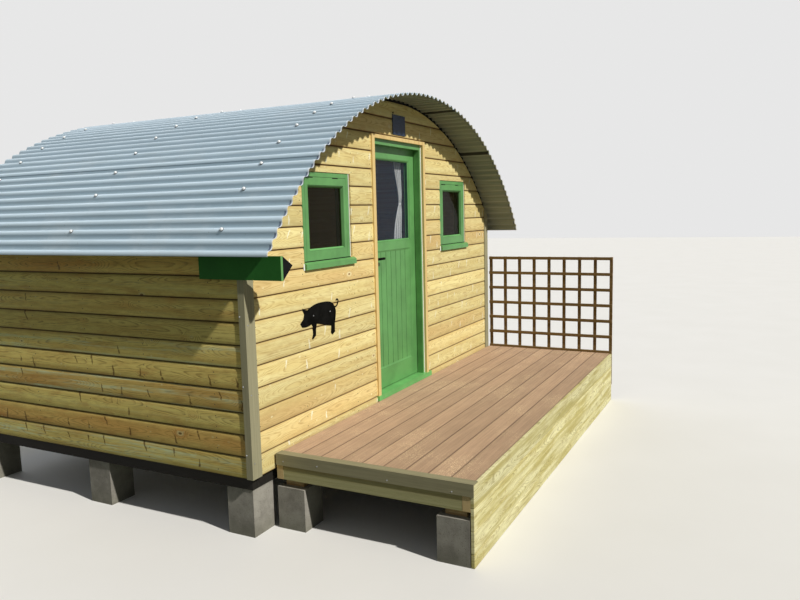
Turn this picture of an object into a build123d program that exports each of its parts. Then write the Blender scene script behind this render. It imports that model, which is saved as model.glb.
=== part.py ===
from build123d import *
import os
from math import asin, cos, degrees, radians, sin, sqrt

# Arched-roof timber camping hut with a porch deck. Millimetres, +Z up, +Y towards the back wall.
# The origin is on the ground, under the middle of the whole hut with its deck.

# Body
ground_drop = 366            # cladding's lower edge above the lowest ground
body_width = 3890            # cladding face to cladding face
body_length = 2600           # front cladding face to back cladding face
wall_t = 112
floor_t = 110
corner_trim_t = 8
corner_trim_front = 85
corner_trim_side = 45

# Roof
roof_radius = 2560           # middle of the corrugated sheets
roof_crown_height = 2360     # crown of the sheets' middle above the cladding's lower edge
roof_front_overhang = 281
roof_length = 3050
roof_board_t = 60
roof_board_parts = 3
corrugation_pitch = 76
corrugation_depth = 18
sheet_t = 1.5
sheet_step = 2.8             # a lapped sheet lies this much further out
sheet_corrugations = (11, 13, 14, 11, 15)
lap_corrugations = 1
seat_gap = 0.3

# Base
base_beam_w = 100
base_beam_h = 75
base_inset = 25
cross_beam_count = 5
pier_w = 190
pier_inset = 30
pier_rows = 3

# Porch deck
deck_height = 91             # deck surface above the cladding's lower edge
deck_depth = 1268            # front cladding face to the face of the skirt
deck_left_inset = 211        # deck's left edge from the outer face of the corner trim
deck_board_t = 25
deck_board_count = 9
deck_board_gap = 5
fascia_t = 6
fascia_top_w = 60
fascia_drop = 70
joist_w = 47
joist_h = 126
joist_count = 9
skirt_t = 20
skirt_below_deck = 5
packer_w = 100
packer_l = 123
packer_h = 47
support_columns = 4

# Trellis at the deck's right end
trellis_bars = 9
trellis_pitch = 152
trellis_bar_w = 28
trellis_bar_t = 18
trellis_top = 1024           # top edge above the cladding's lower edge
trellis_wall_gap = 22

# Door, its widths taken across X and its heights above the cladding's lower edge
door_opening_w = 900
door_opening_top = 2072
door_trim_w = 40
door_head_trim_h = 27
door_trim_proud = 12
door_frame_recess = 12
door_stop_w = 65             # jamb's width in front of the leaf
door_head_stop_h = 68
door_stop_depth = 51         # front of the frame to the stop's back face
door_stop_gap = 5
door_lap = 12                # stop's lap over the leaf's edge
door_edge_gap = 7
leaf_t = 44
sill_h = 38
sill_horn = 50               # nose past the frame on the hinge side
sill_proud = 15
stile_w = 99
glass_bottom = 1275
leaf_top_rail = 103
panel_bottom = 290
panel_top = 1208
panel_margin = 8             # panel's edge inside the line of the stiles
panel_recess = 12
door_glass_t = 24
hinge_count = 3
hinge_h = 90
hinge_flap_w = 38
hinge_flap_t = 2
knuckle_r = 5
knuckle_gap = 0.5
hinge_end_margin = 150
lever_height = 1153
lever_from_edge = 52
lever_length = 110
lever_h = 18
lever_t = 12
lever_stand_off = 38
spindle_r = 8
spindle_gap = 0.5
rose_r = 26
rose_t = 6
curtain_rod_r = 6
curtain_rod_l = 320
curtain_rod_stand_off = 34
curtain_rod_above_glass = 30
curtain_bracket_w = 12
curtain_t = 20
curtain_w = 235
curtain_from_glass_edge = 6
curtain_length = 700
curtain_tie_up = 330         # tie above the curtain's lower edge
curtain_tie_w = 70
curtain_foot_w = 130

# Windows, with their heights above the cladding's lower edge
window_x = 1057.5
window_bottom = 1201
window_w = 555
window_h = 566
window_recess = 5            # frame's face behind the cladding's
window_frame_w = 28
window_stop_w = 25           # frame's width where the sash rests against it
window_stop_t = 33
window_stop_lap = 22         # frame's stop over the sash's back
sash_depth = 42
sash_gap = 2                 # around the sash, at its sides and top
sash_foot_gap = 4            # under the sash, over the sill
sash_stile_w = 33
sash_top_h = 50
sash_foot_h = 64
window_glass_t = 20
window_glass_recess = 18     # glass behind the sash's face
window_sill_w = 613
window_sill_shift = 17       # sill's middle to the right of the window's
window_sill_h = 46
window_sill_proud = 20
window_sill_fall = 12

# Fittings on the front
eaves_board_t = 18
eaves_board_h = 132
eaves_board_l = 571
eaves_board_drop = 4.109     # from the roof's lower edge down to the board
lamp_w = 100
lamp_depth = 88
lamp_apex_share = 0.42       # apex below the lamp's top, as a share of its height
lamp_lens_t = 3
lamp_lens_margin = 12
plaque_w = 210
plaque_h = 150
plaque_t = 6
plaque_bottom = 2092
pig_length = 456
pig_height = 234
pig_t = 3
pig_tail_w = 9
pig_left = -1418
pig_foot = 700

# Places worked out from the sizes above
clad_z = ground_drop
half_w = body_width / 2
trim_x = half_w + corner_trim_t
inner_x = half_w - wall_t
roof_back_reach = roof_length - roof_front_overhang
front_y = -(roof_back_reach - deck_depth) / 2
back_y = front_y + body_length
inner_front_y = front_y + wall_t
inner_back_y = back_y - wall_t
roof_z = clad_z + roof_crown_height - roof_radius
support_r = roof_radius - corrugation_depth / 2 - sheet_t / 2 - seat_gap
roof_front_y = front_y - roof_front_overhang
deck_z = clad_z + deck_height
deck_left = -trim_x + deck_left_inset
deck_right = trim_x
deck_front_y = front_y - deck_depth


def block(x0, x1, y0, y1, z0, z1, mode=Mode.ADD):
    """A box between two corners."""
    with Locations(((x0 + x1) / 2, (y0 + y1) / 2, (z0 + z1) / 2)):
        Box(x1 - x0, y1 - y0, z1 - z0, mode=mode)


def upright(y):
    """A plane across the hut at y, with its own x and y along X and Z."""
    return Plane(origin=(0, y, 0), x_dir=(1, 0, 0), z_dir=(0, -1, 0))


def arch_z(x, radius):
    """Height of an arch of the roof's axis over x."""
    return roof_z + sqrt(radius ** 2 - x ** 2)


def polar(angle, radius):
    """Point of the cross-section at an angle in degrees from the crown, right positive."""
    return (radius * sin(radians(angle)), roof_z + radius * cos(radians(angle)))


def under_arch(x0, x1, z0, y0, y1):
    """A slab of the cross-section between x0 and x1, from z0 up to the roof sheets' seat."""
    middle = (x0 + x1) / 2
    with BuildSketch(upright(y0)) as section:
        with BuildLine():
            Polyline((x0, arch_z(x0, support_r)), (x0, z0), (x1, z0), (x1, arch_z(x1, support_r)))
            ThreePointArc((x1, arch_z(x1, support_r)), (middle, arch_z(middle, support_r)),
                          (x0, arch_z(x0, support_r)))
        make_face()
    extrude(section.sketch, amount=y0 - y1)


def spaced(first, last, count):
    """Even places from first to last."""
    return [first + (last - first) * i / (count - 1) for i in range(count)]


def save(part, name):
    part.label = name
    export_step(part, f"parts/{name}.step")


os.makedirs("parts", exist_ok=True)


# Walls
door_half = door_opening_w / 2
sill_top = deck_z + sill_h
opening_top_z = clad_z + door_opening_top
window_z = clad_z + window_bottom

for side, name in ((-1, "front_wall_left"), (1, "front_wall_right")):
    inner, outer = sorted((side * door_half, side * half_w))
    with BuildPart() as wall:
        under_arch(inner, outer, clad_z, front_y, inner_front_y)
        block(side * window_x - window_w / 2, side * window_x + window_w / 2, front_y, inner_front_y,
              window_z, window_z + window_h, Mode.SUBTRACT)
    save(wall.part, name)

with BuildPart() as front_wall_over_door:
    under_arch(-door_half, door_half, opening_top_z, front_y, inner_front_y)
save(front_wall_over_door.part, "front_wall_over_door")

with BuildPart() as front_wall_under_door:
    block(-door_half, door_half, front_y, inner_front_y, clad_z, deck_z)
save(front_wall_under_door.part, "front_wall_under_door")

with BuildPart() as back_wall:
    under_arch(-half_w, half_w, clad_z, inner_back_y, back_y)
save(back_wall.part, "back_wall")

for side, name in ((-1, "left_wall"), (1, "right_wall")):
    inner, outer = sorted((side * inner_x, side * half_w))
    with BuildPart() as wall:
        under_arch(inner, outer, clad_z, inner_front_y, inner_back_y)
    save(wall.part, name)

with BuildPart() as corner_trims:
    for side in (-1, 1):
        for face_y, out in ((front_y, -1), (back_y, 1)):
            y0, y1 = sorted((face_y, face_y + out * corner_trim_t))
            x0, x1 = sorted((side * trim_x, side * (trim_x - corner_trim_front)))
            under_arch(x0, x1, clad_z, y0, y1)
            y0, y1 = sorted((face_y, face_y - out * (corner_trim_side - corner_trim_t)))
            x0, x1 = sorted((side * trim_x, side * half_w))
            under_arch(x0, x1, clad_z, y0, y1)
save(corner_trims.part, "corner_trims")


# Floor and base
with BuildPart() as floor:
    block(-inner_x, inner_x, inner_front_y, inner_back_y, clad_z, clad_z + floor_t)
save(floor.part, "floor")

beam_z0 = clad_z - base_beam_h
beam_out = half_w - base_inset
beam_in = beam_out - base_beam_w
with BuildPart() as base_side_beams:
    for side in (-1, 1):
        x0, x1 = sorted((side * beam_in, side * beam_out))
        block(x0, x1, front_y + base_inset, back_y - base_inset, beam_z0, clad_z)
save(base_side_beams.part, "base_side_beams")

with BuildPart() as base_cross_beams:
    for y in spaced(front_y + base_inset, back_y - base_inset - base_beam_w, cross_beam_count):
        block(-beam_in, beam_in, y, y + base_beam_w, beam_z0, clad_z)
save(base_cross_beams.part, "base_cross_beams")

pier_x = half_w - pier_inset - pier_w / 2
pier_y0 = front_y + pier_inset + pier_w / 2
pier_y1 = back_y - pier_inset - pier_w / 2
with BuildPart() as base_piers:
    for x in spaced(-pier_x, pier_x, pier_rows):
        for y in spaced(pier_y0, pier_y1, pier_rows):
            block(x - pier_w / 2, x + pier_w / 2, y - pier_w / 2, y + pier_w / 2, 0, beam_z0)
save(base_piers.part, "base_piers")


# Arched roof boards between the end walls
board_outer_r = support_r
board_inner_r = support_r - roof_board_t
wall_angle = degrees(asin(inner_x / board_outer_r))
wall_angle_inner = degrees(asin(inner_x / board_inner_r))
board_names = ("roof_boards_left", "roof_boards_crown", "roof_boards_right")
board_joints = [wall_angle * (2 * i / roof_board_parts - 1) for i in range(roof_board_parts + 1)]
for i, name in enumerate(board_names):
    a0, a1 = board_joints[i], board_joints[i + 1]
    b0 = -wall_angle_inner if i == 0 else a0
    b1 = wall_angle_inner if i == roof_board_parts - 1 else a1
    with BuildPart() as boards:
        with BuildSketch(upright(inner_front_y)):
            with BuildLine():
                ThreePointArc(polar(a0, board_outer_r), polar((a0 + a1) / 2, board_outer_r),
                              polar(a1, board_outer_r))
                Line(polar(a1, board_outer_r), polar(b1, board_inner_r))
                ThreePointArc(polar(b1, board_inner_r), polar((b0 + b1) / 2, board_inner_r),
                              polar(b0, board_inner_r))
                Line(polar(b0, board_inner_r), polar(a0, board_outer_r))
            make_face()
        extrude(amount=inner_front_y - inner_back_y)
    save(boards.part, name)


# Corrugated roof sheets, each lapping over or under its neighbour
corrugation_angle = degrees(corrugation_pitch / roof_radius)
corrugation_total = sum(sheet_corrugations)
quarter = corrugation_pitch / 4
wave_r = (quarter ** 2 + (corrugation_depth / 2) ** 2) / corrugation_depth
flank = asin(quarter / wave_r)


def wave_point(quarters, radius, off):
    """Point of the corrugated line after some quarter waves, moved off the line's middle."""
    angle = (quarters / 4 - corrugation_total / 2) * corrugation_angle
    phase = quarters % 4
    if phase == 1:
        return polar(angle, radius + corrugation_depth / 2 + off)
    if phase == 3:
        return polar(angle, radius - corrugation_depth / 2 + off)
    rising = 1 if phase == 0 else -1
    turn = degrees(rising * off * sin(flank) / radius)
    return polar(angle - turn, radius + off * cos(flank))


first = 0
for i, count in enumerate(sheet_corrugations):
    last = first + count
    radius = roof_radius + (i % 2) * sheet_step
    start = first if i == 0 or i % 2 == 0 else first - lap_corrugations
    end = last if i % 2 == 0 else last + lap_corrugations
    with BuildPart() as sheet:
        with BuildSketch(upright(roof_front_y)):
            with BuildLine():
                for off, waves in ((sheet_t / 2, range(2 * start, 2 * end)),
                                   (-sheet_t / 2, range(2 * start, 2 * end))):
                    for half in waves:
                        trough, peak, next_trough = (wave_point(2 * half + q, radius, off) for q in range(3))
                        ThreePointArc(trough, peak, next_trough)
                for quarters in (4 * start, 4 * end):
                    Line(*(wave_point(quarters, radius, side * sheet_t / 2) for side in (1, -1)))
            make_face()
        extrude(amount=-roof_length)
    save(sheet.part, f"roof_sheet_{i + 1}")
    first = last


# Door frame, sill and trims
frame_y = front_y + door_frame_recess
stop_x = door_half - door_stop_w
leaf_half = stop_x + door_lap
rebate_x = leaf_half + door_edge_gap
stop_y = frame_y + door_stop_depth
leaf_y = stop_y + door_stop_gap
leaf_back_y = leaf_y + leaf_t
stop_top = opening_top_z - door_head_stop_h
leaf_top = stop_top + door_lap
rebate_top = leaf_top + door_edge_gap
leaf_bottom = sill_top + door_edge_gap

with BuildPart() as door_frame:
    block(-door_half, door_half, frame_y, inner_front_y, sill_top, opening_top_z)
    block(-stop_x, stop_x, frame_y, inner_front_y, sill_top, stop_top, Mode.SUBTRACT)
    block(-rebate_x, rebate_x, stop_y, inner_front_y, sill_top, rebate_top, Mode.SUBTRACT)
save(door_frame.part, "door_frame")

with BuildPart() as door_sill:
    block(-door_half, door_half, front_y, inner_front_y, deck_z, sill_top)
    block(-door_half, door_half + sill_horn, front_y - sill_proud, front_y, deck_z, sill_top)
save(door_sill.part, "door_sill")

with BuildPart() as door_trims:
    block(-door_half, door_half, front_y - door_trim_proud, frame_y, sill_top, opening_top_z)
    block(-door_half + door_trim_w, door_half - door_trim_w, front_y - door_trim_proud, frame_y,
          sill_top, opening_top_z - door_head_trim_h, Mode.SUBTRACT)
save(door_trims.part, "door_trims")


# Door leaf, hung on the right and opening inwards
glass_half = leaf_half - stile_w
glass_z0 = clad_z + glass_bottom
glass_z1 = leaf_top - leaf_top_rail
panel_half = glass_half - panel_margin
lever_x = -leaf_half + lever_from_edge
lever_z = clad_z + lever_height
along_y = Plane(origin=(lever_x, leaf_y, lever_z), x_dir=(1, 0, 0), z_dir=(0, 1, 0))

with BuildPart() as door_leaf:
    block(-leaf_half, leaf_half, leaf_y, leaf_back_y, leaf_bottom, leaf_top)
    block(-glass_half, glass_half, leaf_y, leaf_back_y, glass_z0, glass_z1, Mode.SUBTRACT)
    for y0, y1 in ((leaf_y, leaf_y + panel_recess), (leaf_back_y - panel_recess, leaf_back_y)):
        block(-panel_half, panel_half, y0, y1, clad_z + panel_bottom, clad_z + panel_top, Mode.SUBTRACT)
    with BuildSketch(along_y):
        Circle(spindle_r + spindle_gap)
    extrude(amount=leaf_t, mode=Mode.SUBTRACT)
save(door_leaf.part, "door_leaf")

glass_y = (leaf_y + leaf_back_y - door_glass_t) / 2
with BuildPart() as door_glass:
    block(-glass_half, glass_half, glass_y, glass_y + door_glass_t, glass_z0, glass_z1)
save(door_glass.part, "door_glass")

with BuildPart() as door_handle_roses:
    for y in (leaf_y - rose_t, leaf_back_y):
        with BuildSketch(Plane(origin=(lever_x, y, lever_z), x_dir=(1, 0, 0), z_dir=(0, 1, 0))):
            Circle(rose_r)
            Circle(spindle_r + spindle_gap, mode=Mode.SUBTRACT)
        extrude(amount=rose_t)
save(door_handle_roses.part, "door_handle_roses")

lever_reach = lever_stand_off + lever_t
with BuildPart() as door_handle:
    with BuildSketch(along_y.offset(-lever_reach)):
        Circle(spindle_r)
    extrude(amount=leaf_t + 2 * lever_reach)
    for y in (leaf_y - lever_reach, leaf_back_y + lever_stand_off):
        block(lever_x, lever_x + lever_length - lever_h / 2, y, y + lever_t,
              lever_z - lever_h / 2, lever_z + lever_h / 2)
        with BuildSketch(Plane(origin=(lever_x, y, lever_z), x_dir=(1, 0, 0), z_dir=(0, 1, 0))):
            Circle(lever_h / 2)
            with Locations((lever_length - lever_h / 2, 0)):
                Circle(lever_h / 2)
        extrude(amount=lever_t)
save(door_handle.part, "door_handle")

hinge_x = leaf_half + knuckle_r
hinge_y = leaf_back_y + hinge_flap_t + knuckle_gap + knuckle_r
hinge_zs = spaced(leaf_bottom + hinge_end_margin, leaf_top - hinge_end_margin, hinge_count)
web_y1 = hinge_y - knuckle_r / 2
segment = hinge_h / 3


def knuckle(z0, z1, x_web):
    """One barrel of a hinge from z0 to z1, with its web to the flap on the side of x_web."""
    with BuildSketch(Plane.XY.offset(z0)) as barrel:
        with Locations((hinge_x, hinge_y)):
            Circle(knuckle_r)
    extrude(barrel.sketch, amount=z1 - z0)
    x0, x1 = sorted((hinge_x, x_web))
    block(x0, x1, leaf_back_y, web_y1, z0, z1)


def flap(x0, z):
    """A hinge's flap against the leaf's back or the frame, from x0."""
    block(x0, x0 + hinge_flap_w, leaf_back_y, leaf_back_y + hinge_flap_t, z - hinge_h / 2, z + hinge_h / 2)


with BuildPart() as door_hinges:
    for z in hinge_zs:
        flap(hinge_x - knuckle_r - hinge_flap_w, z)
        knuckle(z - segment / 2, z + segment / 2, hinge_x - knuckle_r)
save(door_hinges.part, "door_hinges")

with BuildPart() as frame_hinges:
    for z in hinge_zs:
        flap(hinge_x + knuckle_r, z)
        knuckle(z - hinge_h / 2, z - segment / 2 - knuckle_gap, hinge_x + knuckle_r)
        knuckle(z + segment / 2 + knuckle_gap, z + hinge_h / 2, hinge_x + knuckle_r)
save(frame_hinges.part, "frame_hinges")


# Curtain on the inside of the door, tied back towards the hinges
rod_y = leaf_back_y + curtain_rod_stand_off
rod_z = glass_z1 + curtain_rod_above_glass
rod_x1 = glass_half + curtain_rod_r
rod_x0 = rod_x1 - curtain_rod_l
with BuildPart() as curtain_rod:
    with BuildSketch(Plane(origin=(rod_x0, rod_y, rod_z), x_dir=(0, 1, 0), z_dir=(1, 0, 0))):
        Circle(curtain_rod_r)
    extrude(amount=curtain_rod_l)
    for x in (rod_x0, rod_x1 - curtain_bracket_w):
        block(x, x + curtain_bracket_w, leaf_back_y, rod_y, rod_z - curtain_rod_r, rod_z + curtain_rod_r)
save(curtain_rod.part, "curtain_rod")

curtain_x1 = rod_x1 - curtain_bracket_w - curtain_from_glass_edge
curtain_z1 = rod_z - curtain_rod_r - seat_gap
curtain_z0 = curtain_z1 - curtain_length
tie_z = curtain_z0 + curtain_tie_up
with BuildPart() as door_curtain:
    with BuildSketch(upright(rod_y - curtain_t / 2)):
        with BuildLine():
            Polyline((curtain_x1, curtain_z1), (curtain_x1 - curtain_w, curtain_z1),
                     (curtain_x1 - curtain_tie_w, tie_z), (curtain_x1 - curtain_foot_w, curtain_z0),
                     (curtain_x1, curtain_z0), close=True)
        make_face()
    extrude(amount=-curtain_t)
save(door_curtain.part, "door_curtain")


# Windows beside the door
window_top = window_z + window_h
frame_face_y = front_y + window_recess
stop_face_y = frame_face_y + sash_depth
frame_back_y = stop_face_y + window_stop_t
frame_half = window_w / 2
pocket_half = frame_half - window_frame_w
pocket_top = window_top - window_frame_w
sash_half = pocket_half - sash_gap
sash_z0 = window_z + sash_foot_gap
sash_z1 = pocket_top - sash_gap
light_half = sash_half - sash_stile_w
light_z0 = sash_z0 + sash_foot_h
light_z1 = sash_z1 - sash_top_h
glass_face_y = frame_face_y + window_glass_recess


def across_windows(half, y0, y1, z0, z1, mode=Mode.ADD):
    """A block as wide as 2 half in each window."""
    for x in (-window_x, window_x):
        block(x - half, x + half, y0, y1, z0, z1, mode)


with BuildPart() as window_frames:
    across_windows(frame_half, frame_face_y, frame_back_y, window_z, window_top)
    across_windows(pocket_half, frame_face_y, stop_face_y, window_z, pocket_top, Mode.SUBTRACT)
    across_windows(sash_half - window_stop_lap, stop_face_y, frame_back_y,
                   window_z + window_stop_w, sash_z1 - window_stop_lap, Mode.SUBTRACT)
save(window_frames.part, "window_frames")

with BuildPart() as window_sashes:
    across_windows(sash_half, frame_face_y, stop_face_y, sash_z0, sash_z1)
    across_windows(light_half, frame_face_y, stop_face_y, light_z0, light_z1, Mode.SUBTRACT)
save(window_sashes.part, "window_sashes")

with BuildPart() as window_glass:
    across_windows(light_half, glass_face_y, glass_face_y + window_glass_t, light_z0, light_z1)
save(window_glass.part, "window_glass")

with BuildPart() as window_sills:
    for x in (window_sill_shift - window_x, window_sill_shift + window_x):
        sill_end = Plane(origin=(x - window_sill_w / 2, front_y, window_z), x_dir=(0, 1, 0), z_dir=(1, 0, 0))
        with BuildSketch(sill_end):
            with BuildLine():
                Polyline((0, 0), (-window_sill_proud, -window_sill_fall),
                         (-window_sill_proud, -window_sill_h), (0, -window_sill_h), close=True)
            make_face()
        extrude(amount=window_sill_w)
save(window_sills.part, "window_sills")


# Porch deck
board_z0 = deck_z - deck_board_t
skirt_inner_y = deck_front_y + skirt_t
boards_y1 = front_y - corner_trim_t - deck_board_gap
rim_left = deck_left + fascia_t
board_w = (boards_y1 - skirt_inner_y - (deck_board_count - 1) * deck_board_gap) / deck_board_count
with BuildPart() as deck_boards:
    for i in range(deck_board_count):
        y0 = skirt_inner_y + i * (board_w + deck_board_gap)
        block(rim_left, deck_right, y0, y0 + board_w, board_z0, deck_z)
    block(-door_half - deck_board_gap, door_half + sill_horn + deck_board_gap, front_y - sill_proud, front_y,
          board_z0, deck_z, Mode.SUBTRACT)
save(deck_boards.part, "deck_boards")

with BuildPart() as deck_fascia:
    block(deck_left, rim_left, deck_front_y, boards_y1, deck_z + fascia_t - fascia_drop, deck_z + fascia_t)
    block(rim_left, deck_left + fascia_top_w, deck_front_y, boards_y1, deck_z, deck_z + fascia_t)
save(deck_fascia.part, "deck_fascia")

rim_z0 = board_z0 - joist_h
with BuildPart() as deck_rim:
    block(rim_left, deck_right, skirt_inner_y, boards_y1, rim_z0, board_z0)
    block(rim_left + joist_w, deck_right - joist_w, skirt_inner_y + joist_w, boards_y1 - joist_w,
          rim_z0, board_z0, Mode.SUBTRACT)
save(deck_rim.part, "deck_rim")

with BuildPart() as deck_joists:
    for x in spaced(rim_left, deck_right - joist_w, joist_count + 2)[1:-1]:
        block(x, x + joist_w, skirt_inner_y + joist_w, boards_y1 - joist_w, rim_z0, board_z0)
save(deck_joists.part, "deck_joists")

with BuildPart() as deck_skirt:
    block(rim_left, deck_right, deck_front_y, skirt_inner_y, 0, deck_z - skirt_below_deck)
save(deck_skirt.part, "deck_skirt")

packer_z0 = rim_z0 - packer_h
column_xs = spaced(rim_left + pier_w / 2, deck_right - pier_w / 2, support_columns)
column_ys = (skirt_inner_y + pier_w / 2 + deck_board_gap, boards_y1 - pier_w / 2)
with BuildPart() as deck_packers:
    for x in column_xs:
        for y in column_ys:
            block(x - packer_w / 2, x + packer_w / 2, y - packer_l / 2, y + packer_l / 2, packer_z0, rim_z0)
save(deck_packers.part, "deck_packers")

with BuildPart() as deck_piers:
    for x in column_xs:
        for y in column_ys:
            block(x - pier_w / 2, x + pier_w / 2, y - pier_w / 2, y + pier_w / 2, 0, packer_z0)
save(deck_piers.part, "deck_piers")


# Trellis outside the deck's right end, its rails on the deck and its uprights on the rails
trellis_span = (trellis_bars - 1) * trellis_pitch + trellis_bar_w
trellis_y1 = front_y - trellis_wall_gap
trellis_z1 = clad_z + trellis_top
trellis_back_x = deck_right + trellis_bar_t
with BuildPart() as trellis:
    for i in range(trellis_bars):
        z1 = trellis_z1 - i * trellis_pitch
        block(deck_right, trellis_back_x, trellis_y1 - trellis_span, trellis_y1, z1 - trellis_bar_w, z1)
        y1 = trellis_y1 - i * trellis_pitch
        block(trellis_back_x, trellis_back_x + trellis_bar_t, y1 - trellis_bar_w, y1,
              trellis_z1 - trellis_span, trellis_z1)
save(trellis.part, "trellis")


# Eaves board at the left front corner, with the lamp on its inner face
roof_edge_z = polar(corrugation_total / 2 * corrugation_angle, roof_radius)[1]
eaves_z0 = roof_edge_z - eaves_board_drop - eaves_board_h
with BuildPart() as eaves_board:
    block(-trim_x - eaves_board_t, -trim_x, roof_front_y, roof_front_y + eaves_board_l,
          eaves_z0, eaves_z0 + eaves_board_h)
save(eaves_board.part, "eaves_board")

lamp_top = eaves_z0 + eaves_board_h
lamp_apex = (-trim_x + lamp_depth, lamp_top - lamp_apex_share * eaves_board_h)
with BuildPart() as lamp_body:
    with BuildSketch(upright(roof_front_y)):
        with BuildLine():
            Polyline((-trim_x, eaves_z0), lamp_apex, (-trim_x, lamp_top), close=True)
        make_face()
    extrude(amount=-lamp_w)
save(lamp_body.part, "lamp_body")

slope = Vector(lamp_apex[0] + trim_x, 0, lamp_apex[1] - eaves_z0)
lens_plane = Plane(origin=(-trim_x + slope.X / 2, roof_front_y + lamp_w / 2, eaves_z0 + slope.Z / 2),
                   x_dir=(0, 1, 0), z_dir=(slope.Z, 0, -slope.X))
with BuildPart() as lamp_lens:
    with BuildSketch(lens_plane):
        Rectangle(lamp_w - 2 * lamp_lens_margin, slope.length - 2 * lamp_lens_margin)
    extrude(amount=lamp_lens_t)
save(lamp_lens.part, "lamp_lens")


# Name plate and pig-shaped plate on the front cladding, both plain
plaque_z = clad_z + plaque_bottom
with BuildPart() as sign_plaque:
    block(-plaque_w / 2, plaque_w / 2, front_y - plaque_t, front_y, plaque_z, plaque_z + plaque_h)
save(sign_plaque.part, "sign_plaque")



def on_pig(along, up):
    """Point at shares of the pig's length behind its snout and of its height over its feet."""
    return (along * pig_length, up * pig_height)


pig_rump = on_pig(0.915, 0.66)
pig_tail_root = on_pig(0.89, 0.78)
pig_tail_end = on_pig(0.98, 0.9)
pig_plane = Plane(origin=(pig_left, front_y, clad_z + pig_foot), x_dir=(1, 0, 0), z_dir=(0, -1, 0))
with BuildPart() as pig_plate:
    with BuildSketch(pig_plane):
        with BuildLine():
            back = Spline(on_pig(0.19, 0.86), on_pig(0.37, 0.97), on_pig(0.6, 0.99), on_pig(0.83, 0.9),
                          pig_rump)
            rear = ThreePointArc(pig_rump, on_pig(0.9, 0.48), on_pig(0.875, 0.3))
            hind_leg = Polyline(rear @ 1, on_pig(0.87, 0.06), on_pig(0.8, 0), on_pig(0.765, 0.06),
                                on_pig(0.78, 0.27))
            belly = ThreePointArc(hind_leg @ 1, on_pig(0.57, 0.36), on_pig(0.4, 0.43))
            fore_leg = Polyline(belly @ 1, on_pig(0.375, 0.27), on_pig(0.37, 0.11), on_pig(0.29, 0.02),
                                on_pig(0.27, 0.05), on_pig(0.3, 0.15), on_pig(0.3, 0.37), on_pig(0.27, 0.45))
            jaw = ThreePointArc(fore_leg @ 1, on_pig(0.16, 0.41), on_pig(0.04, 0.43))
            Polyline(jaw @ 1, on_pig(0, 0.53), on_pig(0.075, 0.63), on_pig(0.1, 0.75), on_pig(0.065, 0.93),
                     on_pig(0.145, 0.87), back @ 0)
        make_face()
        with BuildLine(mode=Mode.PRIVATE):
            tail = ThreePointArc(pig_tail_root, on_pig(0.955, 0.82), pig_tail_end)
            curl = ThreePointArc(pig_tail_end, on_pig(0.97, 0.98), on_pig(0.935, 0.96))
        for arc in (tail, curl):
            SlotArc(arc, pig_tail_w)
    extrude(amount=pig_t)
save(pig_plate.part, "pig_plate")
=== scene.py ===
import random
from math import cos, hypot, radians, sin, tau

import bmesh
import bpy
from mathutils import Matrix, Vector


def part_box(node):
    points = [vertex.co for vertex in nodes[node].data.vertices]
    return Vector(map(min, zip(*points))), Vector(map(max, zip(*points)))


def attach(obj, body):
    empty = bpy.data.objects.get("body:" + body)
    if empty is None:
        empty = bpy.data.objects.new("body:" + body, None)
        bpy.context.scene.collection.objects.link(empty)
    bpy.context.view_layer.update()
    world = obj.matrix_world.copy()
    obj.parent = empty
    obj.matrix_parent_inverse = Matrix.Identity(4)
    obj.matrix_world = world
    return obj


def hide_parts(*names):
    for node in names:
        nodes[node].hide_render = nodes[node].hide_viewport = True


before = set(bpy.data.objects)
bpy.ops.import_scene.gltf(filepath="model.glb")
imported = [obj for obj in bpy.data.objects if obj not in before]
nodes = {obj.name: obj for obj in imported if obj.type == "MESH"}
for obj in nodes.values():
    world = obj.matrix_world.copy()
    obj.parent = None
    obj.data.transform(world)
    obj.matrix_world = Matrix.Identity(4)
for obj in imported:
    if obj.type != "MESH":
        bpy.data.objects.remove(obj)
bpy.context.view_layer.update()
rng = random.Random(11)

# Places of the frame, in metres
CLAD_Z = 0.366
COVER = 0.130
HALF_W = 1.945
FRONT_Y, BACK_Y = -0.7505, 1.8495
INNER_FRONT_Y, INNER_BACK_Y = -0.6385, 1.7375
BOARD_T = 0.028
ROOF_Z = 0.166
SEAT_R = 2.54995
SHEET_R = 2.560
WAVE = 0.009
SHEET_HALF_T = 0.00075
SHEET_STEP = 0.0028
WAVE_ANGLE = radians(1.701)
WAVES = 64
RAISED = (range(10, 25), range(37, 50))
DOOR_HALF, SILL_Z, DOOR_TOP = 0.45, 0.457, 2.438
WINDOW_X, WINDOW_HALF, WINDOW_Z0, WINDOW_Z1 = 1.0575, 0.2775, 1.567, 2.133

# The gap that keeps touching faces apart
HAIR = 0.0003

# What the looks follow: pitches, ranges from where a tone starts to where it is full, and the laps' angles
RING_PITCH, END_RING_PITCH, DECK_GROOVE_PITCH = 0.0052, 0.006, 0.0094
# Ranges of painted shade along the deck boards' sides and in the curtain's fold valleys
DECK_BOARD_SIDE_SHADE, FOLD_SHADE = (0.0630, 0.0668), (-0.6130, -0.6050)
# The sheet's painted light and shade: shade in the troughs behind its front edge, a highlight along that
# edge, shade towards the crown, and shadow under the laps
SHEET_EDGE_SHADE, SHEET_EDGE_HIGHLIGHT, CROWN_ANGLES = (-1.0110, -1.0145), (-1.0235, -1.0260), (0.74, 0.42)
LAP_ANGLES = (11.1, 29.8)


# Shaders
def rgb(code):
    """A colour given as on a screen, in the linear values that shaders take."""
    def linear(v):
        v /= 255
        return v / 12.92 if v <= 0.04045 else ((v + 0.055) / 1.055) ** 2.4
    return (linear(code >> 16), linear(code >> 8 & 255), linear(code & 255), 1)


def tones(*codes):
    return tuple(rgb(code) for code in codes)


def scaled(colour, factor, more=0.0):
    return tuple(min(1.0, c * factor + more) for c in colour[:3]) + (1,)


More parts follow.
